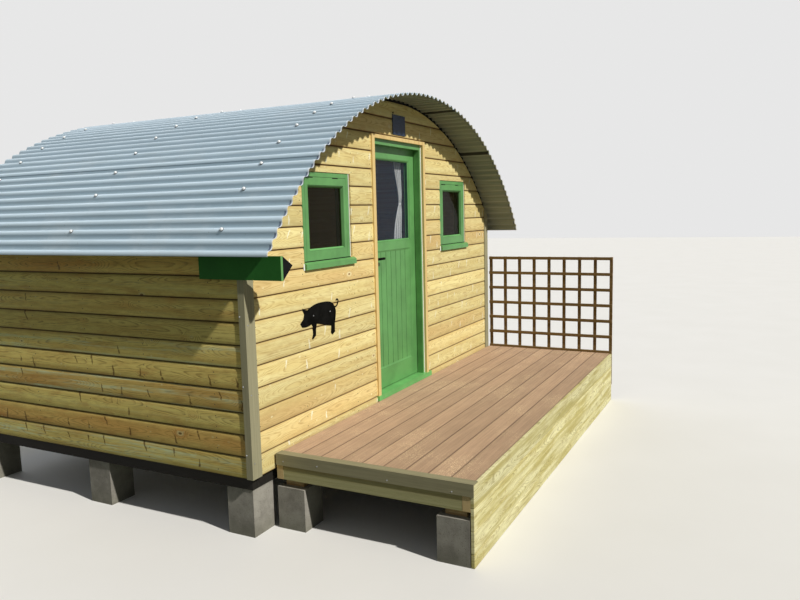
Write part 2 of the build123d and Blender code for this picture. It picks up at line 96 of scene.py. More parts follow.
class Shader:
    """A material in the making. Each call adds a node and gives its output; shown is the colour so far."""

    def __init__(self, name):
        self.material = bpy.data.materials.new(name)
        self.material.use_nodes = True
        self.tree = self.material.node_tree
        self.surface = self.tree.nodes["Principled BSDF"]
        self.place = self.node("TexCoord").outputs["Object"]
        self.axes = self.x, self.y, self.z = self.split(self.place)

    def node(self, kind, inputs=(), **settings):
        n = self.tree.nodes.new("ShaderNode" + kind)
        for key, value in settings.items():
            setattr(n, key, value)
        for key, value in dict(inputs).items():
            if isinstance(value, bpy.types.NodeSocket):
                self.tree.links.new(value, n.inputs[key])
            else:
                n.inputs[key].default_value = value
        return n

    def split(self, vector):
        return tuple(self.node("SeparateXYZ", {0: vector}).outputs)

    def join(self, x=0.0, y=0.0, z=0.0):
        return self.node("CombineXYZ", {0: x, 1: y, 2: z}).outputs[0]

    def math(self, operation, *values):
        return self.node("Math", dict(enumerate(values)), operation=operation).outputs[0]

    def linear(self, value, factor, offset):
        return self.math("MULTIPLY_ADD", value, factor, offset)

    def plus(self, a, b):
        return self.math("ADD", a, b)

    def minus(self, a, b):
        return self.math("SUBTRACT", a, b)

    def fract(self, value):
        return self.math("FRACT", value)

    def absolute(self, value):
        return self.math("ABSOLUTE", value)

    def length(self, a, b):
        return self.math("SQRT", self.plus(self.math("POWER", a, 2.0), self.math("POWER", b, 2.0)))

    def times(self, *values):
        """The product of values, of which (value, low, high) is a rise as between() gives it."""
        product, *others = [self.between(*v) if isinstance(v, tuple) else v for v in values]
        for value in others:
            product = self.math("MULTIPLY", product, value)
        return product

    def noise(self, vector, scale=1.0, detail=2.0, rough=0.5, bend=0.0):
        return self.node("TexNoise", {"Vector": vector, "Scale": scale, "Detail": detail, "Roughness": rough,
                "Distortion": bend}).outputs[0]

    def mottle(self, scale, detail=2.0, rough=0.5):
        return self.noise(self.place, scale, detail, rough)

    def cells(self, vector, scale=1.0):
        """Distance to the nearest cell's middle, and two random values of that cell."""
        n = self.node("TexVoronoi", {"Vector": vector, "Scale": scale})
        one, two, _ = self.split(n.outputs["Color"])
        return n.outputs["Distance"], one, two

    def chance(self, *values):
        """Three random values for the whole numbers given."""
        return self.split(self.node("TexWhiteNoise", {"Vector": self.join(*values)}).outputs["Color"])

    def between(self, value, low, high):
        """0 where value is at low, 1 at high, smooth between."""
        return self.node("MapRange", {"Value": value, "From Min": low, "From Max": high},
                interpolation_type="SMOOTHSTEP").outputs[0]

    def mix(self, share, a, b):
        return self.node("Mix", {0: self.times(share), 6: a, 7: b}, data_type="RGBA").outputs[2]

    def lay(self, tone, *shares):
        """Lays a tone over the colour so far, by the product of its shares."""
        self.shown = self.mix(self.times(*shares), self.shown, tone)

    def ramp(self, value, *stops):
        """Greys at places along the value."""
        n = self.node("ValToRGB", {0: value})
        for _ in range(len(stops) - 2):
            n.color_ramp.elements.new(0.5)
        for element, (place, grey) in zip(n.color_ramp.elements, stops):
            element.position, element.color = place, (grey, grey, grey, 1)
        return n.outputs[0]

    def board(self):
        """Each board's own tone and shift, 0 to 1, and its middle across the grain, from the mesh."""
        return self.split(self.node("Attribute", attribute_name="board").outputs["Vector"])

    def shade(self, roughness, height=None, strength=0.4, distance=0.001, specular=0.5, **sockets):
        """Gives the surface the colour so far, its gloss and bump, and any other sockets by name."""
        sockets.update({"Base Color": self.shown, "Roughness": roughness, "Specular IOR Level": specular})
        for key, value in sockets.items():
            key = key.replace("_", " ")
            if isinstance(value, bpy.types.NodeSocket):
                self.tree.links.new(value, self.surface.inputs[key])
            else:
                self.surface.inputs[key].default_value = value
        if height is not None:
            bump = self.node("Bump", {"Height": height, "Strength": strength, "Distance": distance})
            self.tree.links.new(bump.outputs[0], self.surface.inputs["Normal"])
        return self.material


def wood(name, along, across, pale, mid, dark, knot, heart, *, contrast=0.45, knots=0.40, rim=None,
        spikes=0.0, spike_tone=None, joint=0.0, flecks=0.0, weather=0.0, weather_tone=None, tone_range=0.16,
        roughness=0.6, boards=True):
    """Sawn softwood: rings round a wandering pith, knots round or cut along, and each board's own tone."""
    s = Shader(name)
    a, b, c = s.axes[along], s.axes[across], s.axes[3 - along - across]
    if boards:
        tone, shift, middle = s.board()
        b_in = s.minus(b, middle)
    else:
        tone = s.noise(s.join(s.times(a, 0.7), s.times(b, 6.0)), 1.0, 1.0)
        shift = s.noise(s.join(0.0, s.times(b, 3.0), s.times(c, 3.0)), 1.0, 0.0)
        b_in = s.linear(s.noise(s.join(0.0, b, c), 4.0, 1.0), 0.3, -0.15)
    kind = s.fract(s.times(shift, 11.3))
    own = s.fract(s.times(shift, 7.3))
    far = s.linear(shift, 53.0, a)

    def strokes(lengthways, crossways, third, detail, rough=0.5):
        return s.noise(s.join(s.times(far, lengthways), s.times(b, crossways), third), 1.0, detail, rough)

    wobble = strokes(2.2, 15.0, shift, 2.0)
    fibre = strokes(6.0, 190.0, s.times(c, 190.0), 2.0, 0.6)
    patchy = strokes(11.0, 44.0, 2.0, 3.0, 0.6)

    # Round knots, each with the grain swelling round it
    where = s.join(s.times(far, 4.6), s.linear(shift, 19.0, s.times(b, 8.5)))
    distance, picked, size = s.cells(where)
    chosen = s.math("GREATER_THAN", picked, 1 - knots)
    radius = s.linear(s.math("POWER", size, 2.0), 0.080, 0.026)
    inside = s.math("DIVIDE", distance, radius)
    knot_share = s.times(chosen, (inside, 1.0, 0.75))
    halo = s.times(chosen, (inside, 2.4, 1.1))
    swell = s.times(chosen, (distance, 0.36, 0.0))

    # Rings, and the ragged dark strokes that they make on the face
    drift = s.noise(s.join(s.times(far, 0.5), s.times(shift, 31.0)), 1.0, 2.0)
    depth = s.noise(s.join(s.times(far, 0.9), s.times(shift, 47.0), 5.0), 1.0, 2.0)
    off_b = s.plus(b_in, s.linear(drift, 0.22, -0.11))
    off_c = s.linear(depth, 0.19, -0.045)
    reach = s.length(off_b, off_c)
    grown = s.plus(s.linear(swell, 0.024, reach), s.times(wobble, 0.012))
    grown = s.linear(fibre, 0.0014, grown)
    phase = s.fract(s.math("DIVIDE", grown, RING_PITCH))
    late = s.ramp(phase, (0.0, 0.8), (0.12, 0), (0.62, 0.16), (1.0, 1))
    late = s.times(late, s.linear(s.between(patchy, 0.36, 0.62), 0.8, 0.2))

    # Colour along the board
    band = strokes(1.5, 24.0, shift, 3.0)
    s.shown = s.mix((band, 0.35, 0.68), pale, mid)
    core = s.linear(s.between(reach, 0.085, 0.020), 0.6, 0.4)
    red = s.plus(s.times((own, 0.55, 0.95), core), s.times((own, 0.35, 0.7), swell, 0.5))
    s.shown = s.mix(s.math("MINIMUM", red, 0.85), s.shown, heart)
    blotch = strokes(5.5, 20.0, 8.0, 3.0, 0.6)
    s.lay(scaled(heart, 0.80), (blotch, 0.50, 0.72), 0.40)
    s.lay(dark, late, contrast)
    s.lay(dark, (fibre, 0.45, 0.75), 0.22)
    if weather:
        patch = strokes(0.9, 30.0, 3.0, 4.0, 0.65)
        drawn = s.fract(s.times(shift, 13.7))
        low = s.between(s.z, 1.75, 0.70)
        streaked = s.linear(s.between(patchy, 0.35, 0.65), 0.6, 0.4)
        s.lay(weather_tone, (patch, 0.46, 0.66), (drawn, 0.25, 0.8), low, streaked, weather)

    # Knots in colour
    rim_tone = rim or scaled(pale, 1.15, 0.02)
    s.lay(rim_tone, halo, 0.55)
    ringed = s.mix((inside, 0.0, 0.9), dark, knot)
    s.lay(ringed, knot_share, s.linear(size, 0.45, 0.50))

    # Knots cut along their length: short ragged strokes out of the board's middle, in rows on some boards
    if spikes:
        pace = 5.2
        steps = s.times(far, pace)
        pick, offset, lean = s.chance(s.math("FLOOR", steps), s.math("FLOOR", s.times(shift, 9973.0)), 7.0)
        at = s.minus(s.fract(steps), s.linear(offset, 0.5, 0.25))
        at = s.math("DIVIDE", at, pace)
        flip = s.linear(s.math("GREATER_THAN", lean, 0.5), 2.0, -1.0)
        out = s.times(b_in, flip)
        slant = s.times(s.minus(lean, 0.42), out, 0.9)
        ragged = strokes(26.0, 34.0, 9.0, 3.0, 0.6)
        off = s.absolute(s.linear(s.minus(ragged, 0.5), 0.030, s.minus(at, slant)))
        width = s.linear(s.absolute(out), 0.10, 0.0050)
        line = s.between(s.math("DIVIDE", off, width), 1.3, 0.2)
        reached = s.linear(offset, 0.036, 0.024)
        span = s.times((out, -0.012, 0.004), (s.minus(out, reached), 0.012, 0.0))
        share = s.linear(s.between(kind, 0.50, 0.62), spikes, 0.10)
        line = s.times(line, span, s.math("LESS_THAN", pick, share), (patchy, 0.20, 0.48))
        s.lay(spike_tone, line, 0.90)
    if flecks:
        spot, one, _ = s.cells(s.join(s.times(far, 26.0), s.times(b, 34.0), s.times(shift, 9.0)))
        some = s.math("GREATER_THAN", one, 0.86)
        s.lay(rim_tone, (spot, 0.34, 0.12), some, (patchy, 0.45, 0.6), flecks)
    # Darker bands along both edges of each board, and darker still at the very edges, where the laps cast
    # shadow: painted shade
    if joint:
        soft = s.math("MAXIMUM", s.between(b_in, -0.046, -0.066), s.between(b_in, 0.036, 0.056))
        s.lay(dark, soft, 0.30 * joint)
        edge = s.math("MAXIMUM", s.between(b_in, -0.0585, -0.0640), s.between(b_in, 0.0540, 0.0625))
        s.lay(scaled(knot, 0.6), edge, joint)
    value = s.linear(tone, tone_range, 1 - tone_range * 0.55)
    s.shown = s.node("HueSaturation", {"Value": value, "Color": s.shown}).outputs[0]
    height = s.plus(s.times(late, 0.45), s.times(fibre, 0.7))
    gloss = s.linear(late, -0.10, roughness)
    return s.shade(gloss, height, 0.5, 0.0008, specular=0.12)


def end_grain(name, pale, dark, across, up, pith):
    """Sawn end of a timber: rings round a pith, with drying cracks."""
    s = Shader(name)
    u = s.minus(s.axes[across], pith[0])
    v = s.minus(s.axes[up], pith[1])
    reach = s.length(u, v)
    ragged = s.linear(s.mottle(30.0, 2.0), 0.006, reach)
    ring = s.fract(s.math("DIVIDE", ragged, END_RING_PITCH))
    grit = s.mottle(320.0, 2.0, 0.6)
    turn = s.math("ARCTAN2", u, v)
    crack = s.between(s.noise(s.join(s.times(turn, 2.6), s.times(reach, 3.0)), 3.0, 1.0), 0.60, 0.66)
    s.shown = s.mix(s.times(ring, 0.5), pale, dark)
    s.lay(dark, (grit, 0.5, 0.8), 0.35)
    # Cracks darker: painted shade
    s.lay(scaled(dark, 0.3), crack, 0.6)
    return s.shade(0.8, s.minus(grit, crack), 0.5, 0.001)


def paint(name, colour, along, *, roughness=0.42, specular=0.3, front=None, painted_lit_tone=None):
    """Brushed paint over timber: faint grain, small differences in tone, and dust in patches."""
    s = Shader(name)
    stretched = [s.times(p, 6.0 if i == along else 120.0) for i, p in enumerate(s.axes)]
    grain = s.noise(s.join(*stretched), 1.0, 3.0, 0.55)
    cloud = s.mottle(5.0, 4.0, 0.6)
    speck = s.mottle(75.0, 3.0, 0.7)
    s.shown = s.mix((cloud, 0.3, 0.7), scaled(colour, 0.86), scaled(colour, 1.13, 0.003))
    s.lay(scaled(colour, 1.2, 0.004), (grain, 0.55, 0.8), 0.30)
    s.lay(scaled(colour, 0.7, 0.03), (speck, 0.64, 0.76), 0.30)
    # Where front is given, what lies in front of it takes the front tone: a painted highlight
    if front is not None:
        s.lay(painted_lit_tone, s.math("LESS_THAN", s.y, front))
    return s.shade(s.linear(cloud, 0.18, roughness - 0.09), grain, 0.25, 0.0006, specular=specular)


def composite(name, colour, along, *, streak=0.35, dust=0.0, dust_tone=None, across=None):
    """Wood-plastic composite: fine streaks along the board, specks and chalky patches."""
    s = Shader(name)
    tone, shift, middle = s.board()
    moved = [s.times(p, 2.5 if i == along else 75.0) for i, p in enumerate(s.axes)]
    moved[along] = s.linear(shift, 40.0, moved[along])
    streaks = s.noise(s.join(*moved), 1.0, 3.0, 0.6)
    speck = s.mottle(320.0, 2.0, 0.6)
    cloud = s.mottle(3.2, 4.0, 0.6)
    s.shown = s.mix((streaks, 0.30, 0.72), scaled(colour, 0.72), scaled(colour, 1.30, 0.01))
    s.shown = s.mix(streak, colour, s.shown)
    s.lay(scaled(colour, 1.30, 0.01), (cloud, 0.45, 0.75), 0.30)
    s.lay(scaled(colour, 0.72), (speck, 0.58, 0.72), 0.25)
    if dust:
        patch = s.mottle(2.4, 4.0, 0.65)
        grain = s.mottle(130.0, 2.0, 0.6)
        worn = s.times((patch, 0.48, 0.66), (grain, 0.50, 0.66))
        s.lay(dust_tone, worn, dust)
    # Grooves between the ribs and the boards' sides darker: painted shade
    if across is not None:
        side = s.absolute(s.minus(s.axes[across], middle))
        groove = s.fract(s.math("DIVIDE", side, DECK_GROOVE_PITCH))
        s.lay(scaled(colour, 0.50), (s.absolute(s.minus(groove, 0.5)), 0.20, 0.05), 0.50)
        s.lay(scaled(colour, 0.25), (side, *DECK_BOARD_SIDE_SHADE), 0.70)
    value = s.linear(tone, 0.20, 0.88)
    s.shown = s.node("HueSaturation", {"Value": value, "Color": s.shown}).outputs[0]
    return s.shade(0.7, s.plus(s.times(speck, 0.5), streaks), 0.35, 0.0006, specular=0.3)


def metal(name, colour, roughness, metallic=1.0):
    """Bare metal, its colour and gloss faintly clouded."""
    s = Shader(name)
    cloud = s.mottle(22.0, 4.0, 0.6)
    fine = s.mottle(400.0, 2.0, 0.5)
    s.shown = s.mix((cloud, 0.3, 0.7), scaled(colour, 0.70), scaled(colour, 1.25, 0.01))
    s.shown = s.mix(0.3, colour, s.shown)
    return s.shade(s.linear(cloud, 0.2, roughness - 0.1), fine, 0.1, 0.0003, Metallic=metallic)


def roof_steel():
    """Coated corrugated steel, dull olive underneath, with painted light and shade: lighter crests and
    darker troughs, a darker crown, shadow along the laps, shade in the troughs and a highlight along the
    front edge, and light bare cut ends brightened as a painted highlight.
    """
    s = Shader("roof_steel")
    height = s.minus(s.z, ROOF_Z)
    radius = s.length(s.x, height)
    angle = s.math("ARCTAN2", s.x, height)
    outward = s.node("VectorMath", {0: s.join(s.x, 0.0, height)}, operation="NORMALIZE").outputs[0]
    normal = s.node("NewGeometry").outputs["Normal"]
    facing = s.node("VectorMath", {0: normal, 1: outward}, operation="DOT_PRODUCT").outputs["Value"]
    top = s.math("GREATER_THAN", facing, 0.0)
    end = s.math("GREATER_THAN", s.absolute(s.split(normal)[1]), 0.8)
    crest = s.between(radius, SHEET_R - WAVE, SHEET_R + WAVE)
    streak = s.noise(s.join(s.times(angle, 90.0), s.times(s.y, 1.4)), 1.0, 4.0, 0.6)
    cloud = s.mottle(2.2, 4.0, 0.65)
    spots = s.mottle(70.0, 2.0, 0.6)
    # Crests lighter and troughs darker: painted highlight and painted shade
    s.shown = s.mix(crest, rgb(0x92A9B8), rgb(0xD0E5F4))
    s.lay(rgb(0xA0AEB2), (streak, 0.45, 0.75), 0.35)
    s.lay(rgb(0xD4DEE4), (cloud, 0.50, 0.75), 0.30)
    s.lay(rgb(0x7C847C), (spots, 0.66, 0.76), 0.30)
    # Darker towards the crown: painted shade
    crown_shade = s.between(s.absolute(angle), *CROWN_ANGLES)
    s.lay(rgb(0x708696), crown_shade, 0.34)
    under = s.mix((streak, 0.3, 0.7), rgb(0x868E86), rgb(0x9AA096))
    # Dark lines under the laps: painted shadow
    for lap in LAP_ANGLES:
        off = s.absolute(s.minus(angle, radians(lap)))
        under = s.mix(s.times((off, 0.0062, 0.0040), 0.92), under, rgb(0x1A1914))
    s.shown = s.mix(top, under, s.shown)
    # Troughs darker just behind the front edge: painted shade
    edge_trough_shade = s.times((s.y, *SHEET_EDGE_SHADE), (crest, 0.62, 0.30))
    s.lay(rgb(0x485270), edge_trough_shade, 0.75)
    # A bright band along the front edge: painted highlight
    s.shown = s.mix((s.y, *SHEET_EDGE_HIGHLIGHT), s.shown, rgb(0xECF2FA))
    # Cut ends: light bare steel, brightened as a painted highlight
    s.shown = s.mix(end, s.shown, rgb(0xD8E6F4))
    return s.shade(s.linear(streak, 0.22, 0.34), s.plus(cloud, spots), 0.15, 0.0015, Metallic=0.05,
            specular=0.25)


def glass(name, dark, light, alpha, specular):
    """Glazing with a faint smear in its gloss."""
    s = Shader(name)
    smear = s.mottle(9.0, 4.0, 0.6)
    s.shown = s.mix(smear, dark, light)
    s.material.surface_render_method = "BLENDED"
    return s.shade(s.linear(smear, 0.06, 0.0), Alpha=alpha, IOR=1.5, specular=specular)


def cloth():
    """Thin white woven cotton, with painted shade in the valleys of its folds."""
    s = Shader("white_cotton")
    threads = s.times(s.math("SINE", s.times(s.x, 3200.0)), s.math("SINE", s.times(s.z, 3200.0)))
    slub = s.noise(s.join(s.times(s.x, 30.0), s.y, s.times(s.z, 260.0)), 1.0, 3.0, 0.6)
    cloud = s.mottle(12.0, 3.0, 0.5)
    s.shown = s.mix((slub, 0.35, 0.75), rgb(0xECF1F4), rgb(0xFAFDFF))
    s.lay(rgb(0xE8E7E4), (cloud, 0.4, 0.7), 0.3)
    # The folds' deeper side darker: painted shade
    s.lay(rgb(0x3C4450), (s.y, *FOLD_SHADE), 0.92)
    return s.shade(0.9, s.linear(threads, 0.25, slub), 0.3, 0.0005, Sheen_Weight=0.25, Sheen_Roughness=0.5)


def concrete():
    """Cast blocks: mottled, pitted, and greenish near the ground."""
    s = Shader("cast_concrete")
    cloud = s.mottle(6.0, 5.0, 0.65)
    grit = s.mottle(180.0, 3.0, 0.7)
    distance, one, _ = s.cells(s.place, 90.0)
    pore = s.times((distance, 0.28, 0.10), s.math("GREATER_THAN", one, 0.6))
    s.shown = s.mix((cloud, 0.3, 0.7), rgb(0x807C74), rgb(0xA6A298))
    s.lay(rgb(0x68645E), (grit, 0.5, 0.8), 0.4)
    # Pits darker: painted shade
    s.lay(rgb(0x54504A), pore, 0.7)
    s.lay(rgb(0x686854), (s.z, 0.14, 0.0), 0.35)
    height = s.minus(s.linear(grit, 0.6, cloud), pore)
    return s.shade(0.92, height, 0.6, 0.002)


def slate():
    """Split slate, dark and in thin layers."""
    s = Shader("dark_slate")
    layers = s.noise(s.join(s.times(s.x, 24.0), s.times(s.y, 10.0), s.times(s.z, 60.0)), 1.0, 5.0, 0.65, 0.8)
    s.shown = s.mix((layers, 0.3, 0.7), rgb(0x182438), rgb(0x2C3A54))
    return s.shade(s.linear(layers, 0.2, 0.42), layers, 0.5, 0.0015, specular=0.25)


def plastic(name, colour, roughness, specular=0.5):
    """Plain moulded or painted surface with a faint cloud."""
    s = Shader(name)
    fine = s.mottle(500.0, 2.0, 0.5)
    cloud = s.mottle(14.0, 3.0, 0.6)
    s.shown = s.mix((cloud, 0.35, 0.75), colour, scaled(colour, 1.2, 0.006))
    return s.shade(s.linear(cloud, 0.12, roughness - 0.06), fine, 0.2, 0.0003, specular=specular)


PALE_WOOD = tones(0xF9ECAC, 0xEEDB97, 0xB28E50, 0x8C5E32, 0xE6C688)
# The side walls' pine: a darker, greener copy of the front's, as painted shade; its green weathering streaks
# are its own
SHADED_SIDE_WOOD = tones(0xEEDE86, 0xDCC472, 0x7C6030, 0x362212, 0xCE9652)
TREATED = tones(0xF8F2C0, 0xCCC07C, 0x9E8E52, 0x745430, 0xCEB878)
JOIST_WOOD = tones(0xBEBA8C, 0xA8A676, 0x78724A, 0x543E26, 0xA49464)

front_wood = wood("cladding_front_pine", 0, 2, *PALE_WOOD, contrast=0.64, knots=0.40, spikes=0.60,
        flecks=0.8, rim=rgb(0xFEF6C8), spike_tone=rgb(0xFFFDE4), joint=0.85, tone_range=0.22)
side_wood_painted_shade = wood("cladding_side_pine_painted_shade", 1, 2, *SHADED_SIDE_WOOD, contrast=0.76, knots=0.48, spikes=0.60, flecks=0.6,
        rim=rgb(0xDCD49A), spike_tone=rgb(0x604824), joint=0.8, tone_range=0.28, weather=0.9,
        weather_tone=rgb(0xE0F0C4))
lining_x = wood("lining_pine_across", 0, 2, *PALE_WOOD, knots=0.35)
lining_y = wood("lining_pine_along", 1, 2, *PALE_WOOD, knots=0.35)
floor_wood = wood("floor_pine", 1, 0, *PALE_WOOD, knots=0.3, boards=False, roughness=0.4)
roof_lining = wood("roof_lining_pine", 1, 0, *PALE_WOOD, knots=0.35, boards=False)
trim_wood = wood("trim_pine", 2, 0, *tones(0xF2D898, 0xEACA88, 0xCCA464, 0xAA7646, 0xDCBC86), boards=False,
        knots=0.15, contrast=0.45)
skirt_wood = wood("treated_pine_across", 0, 2, *TREATED, knots=0.5, contrast=0.8, tone_range=0.26,
        rim=rgb(0xF6F0C4), flecks=0.5, spikes=0.5, spike_tone=rgb(0xBEAA6E))
joist_wood = wood("treated_pine_along", 1, 2, *JOIST_WOOD, knots=0.3, boards=False, contrast=0.55)
joist_ends = end_grain("treated_pine_ends", rgb(0xD6BE8A), rgb(0xA48654), 1, 2, (-1.97, 0.40))
packer_wood = wood("packer_pine", 1, 2, *tones(0xD8BE8C, 0xC6A874, 0x9E7A4C, 0x785432, 0xBA9468), knots=0.2,
        boards=False)
trellis_wood = wood("trellis_stain", 1, 2, *tones(0x8C724A, 0x745E3A, 0x46341E, 0x2E2214, 0x7A5E3C),
        boards=False, knots=0.3, roughness=0.6)
base_wood = wood("tarred_timber", 1, 0, *tones(0x2E2C28, 0x24221F, 0x161514, 0x100F0E, 0x2A2622),
        boards=False, knots=0.3, roughness=0.7)
GREEN = rgb(0x639D5B)
green_z = paint("green_paint_upright", GREEN, 2)
green_x = paint("green_paint_across", GREEN, 0)
# Darker green: painted shade in the door panel's V-grooves and on the window beads' right slopes, and the
# beads' dark outer joint line
joint_and_shade_green = paint("green_paint_dark_joints_and_painted_shade", scaled(GREEN, 0.68), 2)
# Lighter green: the whole door sill, and a painted highlight on the window beads' bottom and left slopes
lighter_green_and_highlight = paint("green_paint_lighter_and_painted_highlight", rgb(0x74B86C), 0)
# Eaves board: green darkened as painted shade on its faces, and lighter on its front end as a painted
# highlight
eaves_green_painted_shade = paint("dark_green_paint", rgb(0x2A682A), 1, roughness=0.6, specular=0.1, front=-1.0305,
        painted_lit_tone=rgb(0x70A866))
trim_composite = composite("olive_composite", rgb(0xA6A182), 2)
fascia_composite = composite("olive_composite_fascia", rgb(0x999374), 1)
deck_composite = composite("brown_composite", rgb(0xB09377), 0, streak=0.40, dust=0.80,
        dust_tone=rgb(0xE0C69E), across=1)
black_steel = plastic("black_paint_on_steel", rgb(0x080806), roughness=0.7, specular=0.03)
bright_steel = metal("bright_steel", rgb(0xB0B2B4), roughness=0.32)
nail_steel = metal("nail_heads", rgb(0x564838), roughness=0.6, metallic=0.5)
white_caps = plastic("white_caps", rgb(0xF4F6F8), roughness=0.35)
grey_rubber = plastic("grey_rubber", rgb(0x54585A), roughness=0.75)
black_foam = plastic("black_foam", rgb(0x141312), roughness=0.95, specular=0.1)
white_sealant = plastic("white_sealant", rgb(0xF0F0EA), roughness=0.5)
lamp_black = plastic("lamp_black", rgb(0x060609), roughness=0.35, specular=0.06)
lamp_clear = plastic("lamp_lens", rgb(0xE2E4E0), roughness=0.25)
roof_sheet = roof_steel()
# Door glass tinted blue-grey: painted reflection of the sky
door_pane = glass("door_glazing", rgb(0x384C68), rgb(0x425670), 0.16, 0.2)
# Window glass nearly black and half opaque: painted shade of the dark room behind it
window_pane_painted_shade = glass("window_glazing", rgb(0x100E06), rgb(0x242212), 0.50, 0.08)
cotton = cloth()
cast_concrete = concrete()
dark_slate = slate()

for material, names in ((base_wood, "base_cross_beams base_side_beams"), (cast_concrete,
        "base_piers deck_piers"), (trim_composite, "corner_trims"), (fascia_composite, "deck_fascia"),
        (joist_wood, "deck_joists"), (packer_wood, "deck_packers"), (trellis_wood, "trellis"),
        (floor_wood, "floor"), (green_z, "door_frame door_leaf window_frames window_sashes"),
        (green_x, "window_sills"), (lighter_green_and_highlight, "door_sill"), (eaves_green_painted_shade, "eaves_board"),
        (trim_wood, "door_trims"), (door_pane, "door_glass"), (window_pane_painted_shade, "window_glass"),
        (dark_slate, "sign_plaque"), (black_steel, "door_handle door_handle_roses pig_plate"),
        (lamp_black, "lamp_body"), (bright_steel, "curtain_rod door_hinges frame_hinges"),
        (lamp_clear, "lamp_lens"), (roof_lining, "roof_boards_crown roof_boards_left roof_boards_right"),
        (roof_sheet, "roof_sheet_1 roof_sheet_2 roof_sheet_3 roof_sheet_4 roof_sheet_5")):
    for name in names.split():
        for material_slot in nodes[name].material_slots:
            material_slot.link, material_slot.material = "OBJECT", material


# Shapes
def placed(name, data):
    """A new object in the scene."""
    thing = bpy.data.objects.new(name, data)
    bpy.context.scene.collection.objects.link(thing)
    return thing


def mesh_of(name, points, faces, *materials):
    mesh = bpy.data.meshes.new(name)
    mesh.from_pydata(points, [], faces)
    for material in materials:
        mesh.materials.append(material)
    return mesh


def between_rings(rings, sides, closed=True):
    """Faces from each ring of points to the next, and from the last to the first where closed."""
    faces = []
    for i in range(rings if closed else rings - 1):
        here, there = i * sides, (i + 1) % rings * sides
        for j in range(sides):
            after = (j + 1) % sides
            faces.append([here + j, here + after, there + after, there + j])
    return faces
class Shape:
    """Closed solids gathered into one piece, each with its own tone, shift and middle for the shader."""

    def __init__(self):
        self.points, self.faces, self.finish, self.boards = [], [], [], []

    def solid(self, points, faces, finish=0, middle=0.0):
        start = len(self.points)
        self.points += [tuple(p) for p in points]
        self.faces += [[start + i for i in face] for face in faces]
        self.finish += finish if isinstance(finish, list) else [finish] * len(faces)
        self.boards += [(rng.random(), rng.random(), middle)] * len(points)

    def prism(self, outline, axis, low, high, **more):
        """An outline in the two other axes, in their order, run from low to high along axis."""
        self.solid(*prism(outline, axis, low, high), **more)

    def box(self, low, high, **more):
        outline = [(low[1], low[2]), (high[1], low[2]), (high[1], high[2]), (low[1], high[2])]
        self.prism(outline, 0, low[0], high[0], **more)

    def turned(self, centre, axis, profile, sides=16, finish=0):
        """A solid of revolution about an axis: profile is (radius, height) from bottom to top."""
        axis = Vector(axis).normalized()
        side = axis.orthogonal().normalized()
        other = axis.cross(side)
        points, count = [], len(profile)
        for radius, height in profile:
            for i in range(sides):
                turn = tau * i / sides
                spoke = (side * cos(turn) + other * sin(turn)) * radius
                points.append(Vector(centre) + axis * height + spoke)
        ends = [list(range(sides))[::-1], [(count - 1) * sides + i for i in range(sides)]]
        self.solid(points, between_rings(count, sides, closed=False) + ends, finish=finish)

    def ring(self, rect, section, **more):
        """A mitred ring in an XZ plane: rect is x0, x1, z0, z1, and section is (inset, y) in turn."""
        x0, x1, z0, z1 = rect
        points = []
        for inset, y in section:
            points += [(x0 + inset, y, z0 + inset), (x1 - inset, y, z0 + inset), (x1 - inset, y, z1 - inset),
                    (x0 + inset, y, z1 - inset)]
        self.solid(points, between_rings(len(section), 4), **more)

    def piece(self, name, materials, replaced=(), body="hut", bevel=0.0, smooth=False):
        mesh = mesh_of(name, self.points, self.faces, *materials)
        mesh.polygons.foreach_set("material_index", self.finish)
        mesh.attributes.new("board", "FLOAT_VECTOR", "POINT").data.foreach_set("vector",
                [v for board in self.boards for v in board])
        outward_faces(mesh)
        thing = placed(name, mesh)
        if smooth:
            mesh.polygons.foreach_set("use_smooth", [True] * len(mesh.polygons))
            mesh.set_sharp_from_angle(angle=radians(35))
        if bevel:
            round_edges(thing, bevel)
        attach(thing, body)
        if replaced:
            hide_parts(*replaced)
        return thing


def outward_faces(mesh):
    made = bmesh.new()
    made.from_mesh(mesh)
    bmesh.ops.recalc_face_normals(made, faces=made.faces)
    made.to_mesh(mesh)
    made.free()


def round_edges(thing, width):
    rounding = thing.modifiers.new("rounded_edges", "BEVEL")
    rounding.width, rounding.segments, rounding.limit_method = width, 2, "ANGLE"
    rounding.angle_limit = radians(40)


def prism(outline, axis, low, high):
    """Points and faces of an outline run along an axis."""
    count = len(outline)
    points = []
    for end in (low, high):
        for u, v in outline:
            point = [u, v]
            point.insert(axis, end)
            points.append(point)
    faces = [[i, (i + 1) % count, count + (i + 1) % count, count + i] for i in range(count)]
    return points, faces + [list(range(count))[::-1], [count + i for i in range(count)]]


def plain_object(points, faces):
    mesh = mesh_of("cut", points, faces)
    outward_faces(mesh)
    return placed("cut", mesh)


def drop(thing):
    mesh = thing.data
    bpy.data.objects.remove(thing)
    bpy.data.meshes.remove(mesh)


def cut(solid, cutters):
    """What is left of a solid, as points and faces, once the cutters are taken away."""
    thing = plain_object(*solid)
    for cutter in cutters:
        modifier = thing.modifiers.new("cut", "BOOLEAN")
        modifier.operation, modifier.solver, modifier.object = "DIFFERENCE", "EXACT", cutter
    left = thing.evaluated_get(bpy.context.evaluated_depsgraph_get()).to_mesh()
    points, faces = [v.co.copy() for v in left.vertices], [list(p.vertices) for p in left.polygons]
    drop(thing)
    return points, faces


def arch_point(angle, radius):
    return radius * sin(angle), ROOF_Z + radius * cos(angle)


def wave_angle(k):
    """Angle from the crown of place k, in waves, with a crest at each whole number and a quarter."""
    return (k - WAVES / 2) * WAVE_ANGLE


